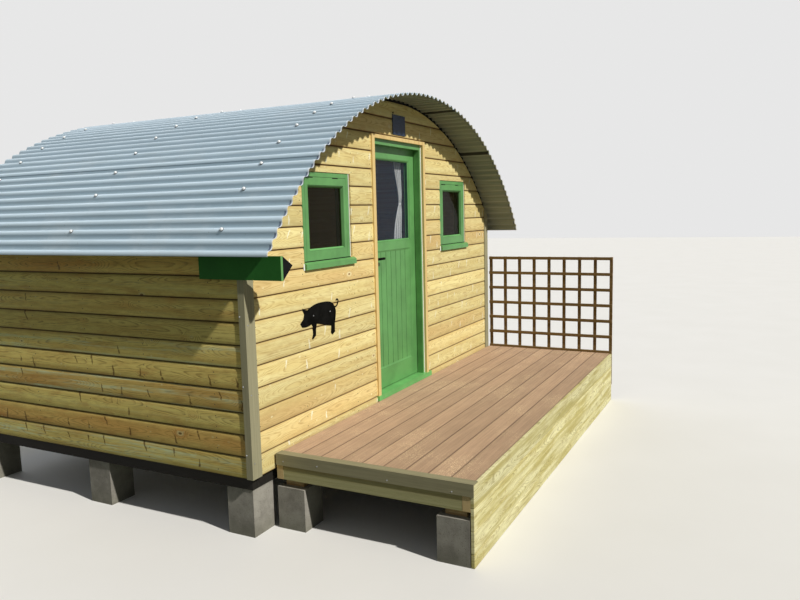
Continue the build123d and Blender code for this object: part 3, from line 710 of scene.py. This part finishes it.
# Walls: log-lap boards outside, lining inside, cut to the arch and round the door and windows
ARCH_STEPS, ARCH_REACH = 150, radians(60)
FOAM_T = 0.012
CUT_FRONT_Y, CUT_INNER_Y, CUT_BACK_Y = -0.9, -0.5, 2.0
SKY_HALF_W, SKY_Z0, SKY_Z1 = 2.9, 1.44, 3.4
sky_line = [arch_point(ARCH_REACH * (2 * i / ARCH_STEPS - 1),
        SEAT_R - FOAM_T) for i in range(ARCH_STEPS + 1)]
sky_line += [(SKY_HALF_W, SKY_Z0), (SKY_HALF_W, SKY_Z1), (-SKY_HALF_W, SKY_Z1), (-SKY_HALF_W, SKY_Z0)]
sky = plain_object(*prism(sky_line, 1, CUT_FRONT_Y, CUT_BACK_Y))

BEAD, RIGHT_GAP, LEFT_GAP, TOP_GAP = 0.017, 0.025, 0.010, 0.004


def opening(x0, x1, z0, z1):
    return plain_object(*prism([(CUT_FRONT_Y, z0), (CUT_INNER_Y, z0), (CUT_INNER_Y, z1), (CUT_FRONT_Y, z1)],
            0, x0, x1))


def wall_openings(left, right, top):
    """Cutters for the door and the two windows, with gaps beside the windows and over all three."""
    made = [opening(-DOOR_HALF, DOOR_HALF, SILL_Z, DOOR_TOP + top)]
    for x in (-WINDOW_X, WINDOW_X):
        made.append(opening(x - WINDOW_HALF - left, x + WINDOW_HALF + right, WINDOW_Z0, WINDOW_Z1 + top))
    return made


# A flat face whose top edge rounds back under the square edge of the board above
LAP_DROP, LAP_BACK, LAP_TURNS = 0.028, 0.016, [radians(15 * i) for i in range(1, 7)]
LOG_BOARD = [(0.0022, 0.0), (0.0006, 0.0006), (0.0, 0.0022), (0.0, 0.045), (0.0, COVER - LAP_DROP)]
LOG_BOARD += [(LAP_BACK * (1 - cos(t)),
        COVER - LAP_DROP + LAP_DROP * sin(t) - (HAIR if t > 1.5 else 0)) for t in LAP_TURNS]
LOG_BOARD += [(BOARD_T, COVER - HAIR), (BOARD_T, 0.0)]
V_CUT, LINING_PLAY = 0.005, 0.0002
BOARD_SEAT = BOARD_T + 0.0005
LINING_BACK = INNER_FRONT_Y - FRONT_Y
LINING_BOARD = [(BOARD_SEAT, 0.0), (BOARD_SEAT, COVER - LINING_PLAY), (LINING_BACK - V_CUT,
        COVER - LINING_PLAY), (LINING_BACK, COVER - V_CUT), (LINING_BACK, V_CUT), (LINING_BACK - V_CUT, 0.0)]
WALL_TOP, SIDE_TOP, LEAST_COURSE = 2.72, 1.935, 0.012


def courses(shape, section, axis, face, inward, low, high, cutters, finish, top):
    """Courses of one board section up a wall. inward is 1 or -1, the way in from its outer face."""
    k = 0
    while CLAD_Z + k * COVER < top - LEAST_COURSE:
        z0 = CLAD_Z + k * COVER
        z1 = z0 + COVER
        solid = prism([(face + inward * deep, z0 + up) for deep, up in section], axis, low, high)
        near = [c for c, (c0, c1) in cutters if c0 < z1 and c1 > z0]
        if near:
            solid = cut(solid, near)
        shape.solid(*solid, finish=finish, middle=z0 + COVER / 2)
        k += 1


def with_heights(cutters):
    return [(c,
            (min(v.co.z for v in c.data.vertices), max(v.co.z for v in c.data.vertices))) for c in cutters]


outer_cutters = with_heights(wall_openings(LEFT_GAP, RIGHT_GAP, TOP_GAP) + [sky])
inner_cutters = with_heights(wall_openings(0.0, 0.0, 0.0) + [sky])
roof_cutter = with_heights([sky])


def part_at_door(shape):
    """Gives the courses that the door parts a tone and shift of their own on each side of it."""
    halves = {}
    for i, (point, board) in enumerate(zip(shape.points, shape.boards)):
        if SILL_Z - COVER / 2 < board[2] < DOOR_TOP - COVER / 2:
            half = (board, point[0] > 0)
            if half not in halves:
                halves[half] = (rng.random(), rng.random(), board[2])
            shape.boards[i] = halves[half]


def clad(shape, axis, face, inward, board_ends, lining_ends, board_cutters, lining_cutters, top=WALL_TOP):
    """Log boards and the lining behind them."""
    courses(shape, LOG_BOARD, axis, face, inward, *board_ends, board_cutters, 0, top)
    courses(shape, LINING_BOARD, axis, face, inward, *lining_ends, lining_cutters, 1, top)


END_BOARDS, END_LINING = (-HALF_W, HALF_W), (-HALF_W + BOARD_SEAT, HALF_W - BOARD_SEAT)
SIDE_BOARDS, SIDE_LINING = (FRONT_Y + BOARD_SEAT, BACK_Y - BOARD_SEAT), (INNER_FRONT_Y, INNER_BACK_Y)
front = Shape()
clad(front, 0, FRONT_Y, 1, END_BOARDS, END_LINING, outer_cutters, inner_cutters)
part_at_door(front)
front.piece("front_cladding", [front_wood, lining_x], ("front_wall_left", "front_wall_right",
        "front_wall_over_door", "front_wall_under_door"), smooth=True)

back = Shape()
clad(back, 0, BACK_Y, -1, END_BOARDS, END_LINING, roof_cutter, roof_cutter)
back.piece("back_cladding", [front_wood, lining_x], ("back_wall",), smooth=True)

for side, name in ((-1, "left"), (1, "right")):
    wall = Shape()
    clad(wall, 1, side * HALF_W, -side, SIDE_BOARDS, SIDE_LINING, roof_cutter, roof_cutter, SIDE_TOP)
    wall.piece(f"{name}_cladding", [side_wood_painted_shade, lining_y], (f"{name}_wall",), smooth=True)

for cutter, _ in outer_cutters + inner_cutters[:-1]:
    drop(cutter)


# Foam strips that close the waves of the roof over the end walls
def sheet_radius(k):
    """Middle radius of the lowest sheet at place k, in waves."""
    return SHEET_R + WAVE * sin(tau * k)


FOAM_CLEAR, FOAM_INSET = 0.0012, 0.004
FOAM_FIRST, FOAM_LAST, WAVE_STEPS = 4, 60, 8
places = [FOAM_FIRST + i / WAVE_STEPS for i in range((FOAM_LAST - FOAM_FIRST) * WAVE_STEPS + 1)]
last = 4 * len(places) - 4
upper = [arch_point(wave_angle(k), sheet_radius(k) - SHEET_HALF_T - FOAM_CLEAR) for k in places]
lower = [arch_point(wave_angle(k), SEAT_R - FOAM_T + HAIR) for k in places]
foam = Shape()
for y0, y1 in ((FRONT_Y + FOAM_INSET, INNER_FRONT_Y), (INNER_BACK_Y, BACK_Y - FOAM_INSET)):
    points = []
    for (x0, z0), (x1, z1) in zip(lower, upper):
        points += [(x0, y0, z0), (x1, y0, z1), (x1, y1, z1), (x0, y1, z0)]
    ends = [[0, 1, 2, 3], [last, last + 1, last + 2, last + 3]]
    foam.solid(points, between_rings(len(places), 4, closed=False) + ends)
foam.piece("foam_closure_strips", [black_foam])


# Nails in two rows along each cladding board
NAIL_R, NAIL_H, NAIL_STRAY = 0.0032, 0.0007, 0.004
NAIL_UPS, END_COURSES, SIDE_COURSES = (0.030, 0.092), 16, 10
END_NAIL_XS, SIDE_NAIL_YS = (0.478, 0.74, 1.372, 1.86), (-0.50, 0.05, 0.55, 1.05, 1.60)
SILL_NAIL_X, SILL_NAIL_Z, ARCH_CLEAR = 0.5, 0.5, 0.05


def nail(shape, point, outward):
    shape.turned(point, outward, [(NAIL_R, 0.0), (NAIL_R, NAIL_H * 0.5), (NAIL_R * 0.6, NAIL_H)], sides=10)


def screw(shape, point, outward, radius=0.0045):
    """A domed screw head with a sunk drive."""
    shape.turned(point, outward, [(radius, 0.0), (radius * 0.92, 0.0009), (radius * 0.62, 0.0016),
            (radius * 0.36, 0.0016), (radius * 0.22, 0.0006)], sides=12)


nails = Shape()
for z in [CLAD_Z + k * COVER + up for k in range(END_COURSES) for up in NAIL_UPS]:
    for side in (-1, 1):
        for x in END_NAIL_XS:
            at_window = abs(x - WINDOW_X) < WINDOW_HALF + 0.035 and WINDOW_Z0 - 0.06 < z < WINDOW_Z1 + 0.01
            at_sill = x < SILL_NAIL_X and z < SILL_NAIL_Z
            at = side * (x + rng.uniform(-NAIL_STRAY, NAIL_STRAY))
            if at_window or at_sill or hypot(at, z - ROOF_Z) > SEAT_R - ARCH_CLEAR:
                continue
            nail(nails, (at, FRONT_Y, z), (0, -1, 0))
            nail(nails, (at, BACK_Y, z), (0, 1, 0))
for z in [CLAD_Z + k * COVER + up for k in range(SIDE_COURSES) for up in NAIL_UPS]:
    for side in (-1, 1):
        for y in SIDE_NAIL_YS:
            nail(nails, (side * HALF_W, y + rng.uniform(-NAIL_STRAY, NAIL_STRAY), z), (side, 0, 0))
nails.piece("cladding_nails", [nail_steel])

# The roof's capped screws: three rows, on the crests that the waves' numbers say
CAP_YS = (-0.6555, 0.5495, 1.7545)
CAP_WAVES = (2, 6, 9, 12, 15, 18, 21, 25, 28, 36, 39, 43, 46, 49, 52, 55, 58, 61)
CAP = [(0.0125, -0.0015), (0.0125, 0.0018), (0.0115, 0.0030)]
DOME = [(0.0105 * cos(t), 0.0040 + 0.0085 * sin(t)) for t in [radians(15 * i) for i in range(6)]]
DOME = [(0.0108, 0.0028)] + DOME + [(0.0012, 0.0125)]
caps = Shape()
for y in CAP_YS:
    for k in CAP_WAVES:
        raised = SHEET_STEP if any(k in sheet for sheet in RAISED) else 0.0
        angle = wave_angle(k + 0.25)
        x, z = arch_point(angle, SHEET_R + WAVE + SHEET_HALF_T + raised)
        outward = (sin(angle), 0, cos(angle))
        caps.turned((x, y, z), outward, CAP, 18, finish=1)
        caps.turned((x, y, z), outward, DOME, 18, finish=0)
caps.piece("roof_screws", [white_caps, grey_rubber], smooth=True)

# Screws in the corner trims, the deck's fascia and the pig-shaped plate
TRIM_FACE_X, TRIM_SIDE_X, TRIM_SCREW_ZS = 1.931, 1.953, (0.46, 0.86, 1.26, 1.62)
FASCIA_X, FASCIA_SCREWS = -1.742, ((-0.815, 0.419), (-1.054, 0.422), (-1.512, 0.410), (-1.896, 0.407))
PLATE_SCREWS = ((-1.270, 1.223), (-1.073, 1.225))
fixings = Shape()
for side in (-1, 1):
    for z in TRIM_SCREW_ZS:
        screw(fixings, (side * TRIM_FACE_X, FRONT_Y - 0.008, z), (0, -1, 0))
        screw(fixings, (side * TRIM_SIDE_X, FRONT_Y + 0.030, z + 0.05), (side, 0, 0))
for y, z in FASCIA_SCREWS:
    screw(fixings, (FASCIA_X, y, z), (-1, 0, 0), 0.0040)
for x, z in PLATE_SCREWS:
    screw(fixings, (x, FRONT_Y - 0.003, z), (0, -1, 0), 0.0048)
fixings.piece("trim_screws", [bright_steel], smooth=True)


# Door: grooved boards in its lower panel with a moulding round them, their grooves darker green as painted
# shade, and glazing beads
LEAF_FRONT, LEAF_BACK = -0.6825, -0.6385
PANEL = (-0.290, 0.290, 0.656, 1.574)
PANEL_DEEP, PANEL_BOARD, PANEL_BOARDS, PANEL_PLAY = 0.012, 0.0065, 7, 0.0005
JOINT, PARTING, MOULDING_W = 0.0045, 0.0004, 0.0115
panel = Shape()
for face, inward in ((LEAF_FRONT, 1), (LEAF_BACK, -1)):
    floor_y = face + inward * PANEL_DEEP
    top_y = floor_y - inward * PANEL_BOARD
    joint_y = top_y + inward * JOINT
    width = (PANEL[1] - PANEL[0] - 2 * PANEL_PLAY) / PANEL_BOARDS
    for i in range(PANEL_BOARDS):
        x0 = PANEL[0] + PANEL_PLAY + i * width
        x1 = x0 + width - PARTING
        outline = [(x0, floor_y), (x0, joint_y), (x0 + JOINT, top_y), (x1 - JOINT, top_y), (x1, joint_y),
                (x1, floor_y)]
        # The grooves' sides and chamfers take the darker green: painted shade
        panel.prism(outline, 2, PANEL[2] + PANEL_PLAY, PANEL[3] - PANEL_PLAY,
                finish=[1, 1, 0, 1, 1, 0, 0, 0])
    panel.ring(PANEL, [(HAIR, face + inward * 0.0015), (MOULDING_W, top_y - inward * 0.0004),
            (MOULDING_W, top_y), (HAIR, top_y)])
panel.piece("door_panel_boards", [green_z, joint_and_shade_green], body="door")

DOOR_LIGHT, DOOR_BEAD_W = (-0.298, 0.298, 1.641, 2.279), 0.013
beads = Shape()
pane_low, pane_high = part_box("door_glass")
for face, inward, pane in ((LEAF_FRONT, 1, pane_low.y), (LEAF_BACK, -1, pane_high.y)):
    beads.ring(DOOR_LIGHT, [(HAIR, face + inward * 0.002), (0.004, face + inward * 0.0012),
            (DOOR_BEAD_W, pane - inward * 0.0016), (DOOR_BEAD_W, pane - inward * HAIR),
            (HAIR, pane - inward * HAIR)])
beads.piece("door_glazing_beads", [green_z], body="door")

# Windows: glazing beads, their outer joint dark, their slope lighter at the bottom and the left as a painted
# highlight and darker on the right as painted shade
SASH_FRONT, SASH_BACK, PANE_FRONT, PANE_BACK = -0.7455, -0.7035, -0.7275, -0.7075
LIGHT_HALF, LIGHT_Z0, LIGHT_Z1 = 0.2145, 1.635, 2.050
OUTER_BEAD_W, INNER_BEAD_W = 0.0125, 0.009
# Faces of each outer bead: the joint line dark, then the slope's bottom, right, top and left as painted
# highlight, painted shade, plain and painted highlight
BEAD_JOINT_SHADE_AND_HIGHLIGHT = [2, 2, 2, 2] + [1, 2, 0, 1] + [0] * 12
window_beads = Shape()
for side in (-1, 1):
    light = (side * WINDOW_X - LIGHT_HALF, side * WINDOW_X + LIGHT_HALF, LIGHT_Z0, LIGHT_Z1)
    window_beads.ring(light, [(HAIR, SASH_FRONT + 0.0005), (0.003, SASH_FRONT + 0.0005),
            (OUTER_BEAD_W, PANE_FRONT - 0.003), (OUTER_BEAD_W, PANE_FRONT - HAIR),
            (HAIR, PANE_FRONT - HAIR)], finish=BEAD_JOINT_SHADE_AND_HIGHLIGHT)
    window_beads.ring(light, [(HAIR, SASH_BACK), (0.002, SASH_BACK), (INNER_BEAD_W, PANE_BACK + 0.0010),
            (INNER_BEAD_W, PANE_BACK + HAIR), (HAIR, PANE_BACK + HAIR)])
window_beads.piece("window_glazing_beads", [green_x, lighter_green_and_highlight, joint_and_shade_green])

# Black strips as painted shade in the vent slots at the head of each sash, and in the gap over its sill
SLOT_XS, SLOT_Z, SLOT_HALF_H, SLOT_PROUD = ((-0.240, -0.152), (0.078, 0.148)), 2.1005, 0.003, 0.0004
slots = Shape()
for middle in (-WINDOW_X, WINDOW_X):
    for x0, x1 in SLOT_XS:
        slots.box((middle + x0, SASH_FRONT - SLOT_PROUD, SLOT_Z - SLOT_HALF_H),
                (middle + x1, SASH_FRONT + 0.004, SLOT_Z + SLOT_HALF_H))
    slots.box((middle - WINDOW_HALF, FRONT_Y - SLOT_PROUD, WINDOW_Z0 - 0.0010),
            (middle + WINDOW_HALF, SASH_FRONT - 0.0002, WINDOW_Z0 + 0.0055))
slots.piece("window_vent_slot_and_sill_gap_shade", [black_foam])

# White sealant right of each window, at each sill's left end and beside the door's frame
SILL_SHIFT, SILL_HALF, SILL_SEAL_ZS = 0.017, 0.3065, (1.518, 1.560)
FRAME_FACE, TRIM_IN, FRAME_SEAL_ZS = -0.7385, 0.410, (0.496, 2.410)
sealant = Shape()
for middle in (-WINDOW_X, WINDOW_X):
    near = middle + WINDOW_HALF
    outline = [(near, FRONT_Y + BOARD_T), (near, FRONT_Y + 0.002), (near + 0.5 * BEAD, FRONT_Y + 0.003),
            (near + BEAD, FRONT_Y + 0.010), (near + BEAD, FRONT_Y + BOARD_T)]
    sealant.prism(outline, 2, WINDOW_Z0 + 0.001, WINDOW_Z1 + 0.002)
    sill_end = middle + SILL_SHIFT - SILL_HALF
    outline = [(sill_end, FRONT_Y), (sill_end, FRONT_Y - 0.004), (sill_end - 0.004, FRONT_Y - 0.003),
            (sill_end - 0.008, FRONT_Y)]
    sealant.prism(outline, 2, *SILL_SEAL_ZS)
outline = [(TRIM_IN, FRAME_FACE), (TRIM_IN, FRAME_FACE - 0.0045), (TRIM_IN - 0.0025, FRAME_FACE - 0.0035),
        (TRIM_IN - 0.0045, FRAME_FACE)]
sealant.prism(outline, 2, *FRAME_SEAL_ZS)
sealant.piece("white_sealant_beads", [white_sealant])


# Curtain tied back inside the door's glass
CLOTH_X1, CLOTH_Z0, CLOTH_Z1, CLOTH_Y = 0.302, 1.603, 2.303, -0.6045
CLOTH_FOLDS, CLOTH_COLUMNS, CLOTH_ROWS = 4, 160, 64
HEAD_W, DRAWN_IN, WAIST_W, FLARE = 0.132, 0.080, 0.052, 0.098
FOLD_DEEP, FOLD_PRESSED, FOLD_LEAN, GATHER_REACH = 0.0130, 0.0058, 0.0022, 0.10
CLOTH_SIDE, CLOTH_ENDS = 0.001, 0.004
TIE_X, TIE_Z, TIE_H, TIE_HALF_W, TIE_HALF_D, TIE_SIDES = CLOTH_X1 - 0.0275, 1.933, 0.020, 0.0285, 0.0096, 28
TIE_BAND = ((-0.5, 0.94), (-0.25, 1.0), (0.25, 1.0), (0.5, 0.94), (0.5, 0.86), (-0.5, 0.86))
TIE_DOWN = (CLOTH_Z1 - TIE_Z) / (CLOTH_Z1 - CLOTH_Z0)


def curtain_width(down):
    """Width of the gathered cloth at a share of the way down."""
    if down < TIE_DOWN:
        t = down / TIE_DOWN
        return HEAD_W - DRAWN_IN * (3 * t ** 2 - 2 * t ** 3)
    t = (down - TIE_DOWN) / (1 - TIE_DOWN)
    return WAIST_W + FLARE * (1 - (1 - t) ** 2)


points, faces = [], []
for row in range(CLOTH_ROWS + 1):
    down = row / CLOTH_ROWS
    width = curtain_width(down)
    gathered = max(0.0, 1 - abs(down - TIE_DOWN) / GATHER_REACH)
    swing = FOLD_DEEP - FOLD_PRESSED * gathered
    for column in range(CLOTH_COLUMNS + 1):
        u = column / CLOTH_COLUMNS
        bend = 0.35 * sin(2.1 * u + 5.0 * down) + 0.12 * sin(17.0 * u + 9.0 * down)
        turn = tau * CLOTH_FOLDS * u + bend
        x = CLOTH_X1 - CLOTH_SIDE - width * u + FOLD_LEAN * sin(2 * turn) * (1 - gathered)
        y = CLOTH_Y + swing * sin(turn)
        z = CLOTH_Z1 - CLOTH_ENDS - (CLOTH_Z1 - CLOTH_Z0 - 2 * CLOTH_ENDS) * down
        points.append((x, y, z))
for row in range(CLOTH_ROWS):
    for column in range(CLOTH_COLUMNS):
        i = row * (CLOTH_COLUMNS + 1) + column
        faces.append([i, i + 1, i + CLOTH_COLUMNS + 2, i + CLOTH_COLUMNS + 1])
drape = mesh_of("tied_curtain", points, faces, cotton)
drape.polygons.foreach_set("use_smooth", [True] * len(drape.polygons))
curtain = placed("tied_curtain", drape)
weight = curtain.modifiers.new("cloth_thickness", "SOLIDIFY")
weight.thickness, weight.offset = 0.0008, 0.0
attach(curtain, "door")
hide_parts("door_curtain")

band = Shape()
points = []
for level, swell in TIE_BAND:
    for i in range(TIE_SIDES):
        turn = tau * i / TIE_SIDES
        points.append((TIE_X + TIE_HALF_W * swell * cos(turn), CLOTH_Y + TIE_HALF_D * swell * sin(turn),
                TIE_Z + TIE_H * level))
band.solid(points, between_rings(len(TIE_BAND), TIE_SIDES))
tie = band.piece("curtain_tie", [cotton], body="door", smooth=True)


# Deck boards with fine ribs
BOARDS, BOARD_GAP, UNDERCUT = 9, 0.005, 0.002
RIBS, RIB_DEEP, RIB_EDGE = 13, 0.0018, 0.006
RIB = ((0.0, 0), (0.18, 1), (0.42, 1), (0.60, 0))
ARRIS = ((0.0, 0.003), (0.001, 0.001), (0.003, 0.0))
deck = Shape()
low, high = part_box("deck_boards")
board_w = (high.y - low.y - (BOARDS - 1) * BOARD_GAP) / BOARDS
foot, top, step = low.z, high.z, (board_w - 2 * RIB_EDGE) / RIBS
for i in range(BOARDS):
    y0 = low.y + i * (board_w + BOARD_GAP)
    y1 = y0 + board_w
    outline = [(y0, foot + UNDERCUT)] + [(y0 + over, top - down) for over, down in ARRIS]
    for rib in range(RIBS):
        left = y0 + RIB_EDGE + rib * step
        outline += [(left + share * step, top - deep * RIB_DEEP) for share, deep in RIB]
    outline += [(y1 - over, top - down) for over, down in reversed(ARRIS)]
    outline += [(y1, foot + UNDERCUT), (y1 - UNDERCUT, foot), (y0 + UNDERCUT, foot)]
    deck.prism(outline, 0, low.x, high.x, middle=(y0 + y1) / 2)
deck.piece("deck_ribbed_boards", [deck_composite], ("deck_boards",))

# Skirt boards under the deck's front edge
SKIRT_HEIGHTS = ((0.0, 0.0755), (0.0785, 0.2005), (0.2035, 0.3255), (0.3285, 0.452))
skirt = Shape()
low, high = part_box("deck_skirt")
for z0, z1 in SKIRT_HEIGHTS:
    skirt.box((low.x, low.y, z0), (high.x, high.y, z1), middle=(z0 + z1) / 2)
skirt.piece("deck_skirt_boards", [skirt_wood], ("deck_skirt",), bevel=0.002)

# Rim joists, the long ones running past the ends of the short ones
JOIST_W, JOIST_GAP, JOIST_SLACK = 0.047, 0.001, 0.0006
rim = Shape()
low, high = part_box("deck_rim")
for y0 in (low.y, high.y - JOIST_W):
    rim.box((low.x, y0, low.z), (high.x, y0 + JOIST_W, high.z), finish=[0, 0, 0, 0, 1, 1])
for x0 in (low.x, high.x - JOIST_W):
    rim.box((x0 + JOIST_SLACK, low.y + JOIST_W + JOIST_GAP, low.z), (x0 + JOIST_W - JOIST_SLACK,
            high.y - JOIST_W - JOIST_GAP, high.z))
rim.piece("deck_rim_joists", [joist_wood, joist_ends], ("deck_rim",), bevel=0.0015)

# Plaque's hanging hook, over its top edge
HOOK_X, HOOK_Z, HOOK_FOOT, HOOK_HALF_W = -0.093, 2.622, 2.6075, 0.0015
hook = Shape()
hook.turned((HOOK_X, FRONT_Y, HOOK_Z), (0, -1, 0), [(0.0035, 0.0), (0.0035, 0.0045), (0.0060, 0.0048),
        (0.0060, 0.0058), (0.0030, 0.0062)], 12)
hook.box((HOOK_X - HOOK_HALF_W, FRONT_Y - 0.0040, HOOK_FOOT), (HOOK_X + HOOK_HALF_W, FRONT_Y - 0.0015,
        HOOK_Z))
hook.piece("plaque_hook", [black_steel])

# Rounded edges
for width, names in ((0.0006, "lamp_lens pig_plate"), (0.0012, "door_handle sign_plaque trellis"),
        (0.0015, "corner_trims deck_packers door_leaf eaves_board"), (0.003, "door_sill"),
        (0.002, "door_frame door_trims lamp_body window_frames window_sashes window_sills"),
        (0.004, "base_piers deck_piers")):
    for name in names.split():
        round_edges(nodes[name], width)


# Camera at the photograph's place
CAMERA_AT = Vector((-5.0781, -3.3259, 1.8702))
YAW, PITCH, ROLL = 1.0979, -0.1220, -0.0242
ahead = Vector((sin(YAW) * cos(PITCH), cos(YAW) * cos(PITCH), sin(PITCH)))
level = Vector((cos(YAW), -sin(YAW), 0))
upward = level.cross(ahead)
right = level * cos(ROLL) + upward * sin(ROLL)
up = upward * cos(ROLL) - level * sin(ROLL)
lens = bpy.data.cameras.new("photo_camera")
lens.lens, lens.sensor_width, lens.clip_end = 32.366, 36, 200
camera = placed("photo_camera", lens)
camera.matrix_world = Matrix.Translation(CAMERA_AT) @ Matrix((right, up, -ahead)).transposed().to_4x4()
bpy.context.scene.camera = camera

# Light: a key from the photograph's side, a broad weak one from behind and an even fill
for name, energy, spread, colour, towards in (("key", 3.55, 1.6, (1.0, 0.97, 0.91), (-0.149, -0.729, 0.668)),
        ("back_fill", 0.9, 60, (0.92, 0.96, 1.0), (0.50, 0.78, 0.38))):
    lamp = bpy.data.lights.new(name, "SUN")
    lamp.energy, lamp.angle, lamp.color = energy, radians(spread), colour
    placed(name, lamp).rotation_euler = Vector(towards).to_track_quat("Z", "Y").to_euler()


def choose_by_ray(tree, light, shown, output):
    """Links to output what camera, glossy and transmission rays are shown, and what lights all else."""
    rays = tree.nodes.new("ShaderNodeLightPath")
    seen = rays.outputs["Is Camera Ray"]
    for ray in ("Is Glossy Ray", "Is Transmission Ray"):
        either = tree.nodes.new("ShaderNodeMath")
        either.operation = "MAXIMUM"
        tree.links.new(seen, either.inputs[0])
        tree.links.new(rays.outputs[ray], either.inputs[1])
        seen = either.outputs[0]
    choose = tree.nodes.new("ShaderNodeMixShader")
    for i, source in enumerate((seen, light, shown)):
        tree.links.new(source, choose.inputs[i])
    tree.links.new(choose.outputs[0], output.inputs["Surface"])


world = bpy.data.worlds.new("studio")
bpy.context.scene.world = world
world.use_nodes = True
sky_nodes = world.node_tree
fill = sky_nodes.nodes["Background"]
fill.inputs["Color"].default_value, fill.inputs["Strength"].default_value = (0.90, 0.95, 1.0, 1), 0.15
white = sky_nodes.nodes.new("ShaderNodeBackground")
choose_by_ray(sky_nodes, fill.outputs[0], white.outputs[0], sky_nodes.nodes["World Output"])

# Floor, pale where it is seen and dim in the light that it throws back
FLOOR_HALF = 40
floor_paint = Shader("pale_floor")
floor_paint.shown = floor_paint.mix(floor_paint.mottle(1.5, 3.0), rgb(0xE8E7E4), rgb(0xEEEDEB))
dim = floor_paint.node("BsdfDiffuse", {"Color": rgb(0x6A6E5E)})
floor_paint.shade(0.9)
choose_by_ray(floor_paint.tree, dim.outputs[0], floor_paint.surface.outputs[0],
        floor_paint.tree.nodes["Material Output"])
corners = [(x * FLOOR_HALF, y * FLOOR_HALF, 0) for x, y in ((-1, -1), (1, -1), (1, 1), (-1, 1))]
floor_plane = placed("studio_floor", mesh_of("studio_floor", corners, [(0, 1, 2, 3)], floor_paint.material))

bpy.context.scene.view_settings.view_transform = "Standard"
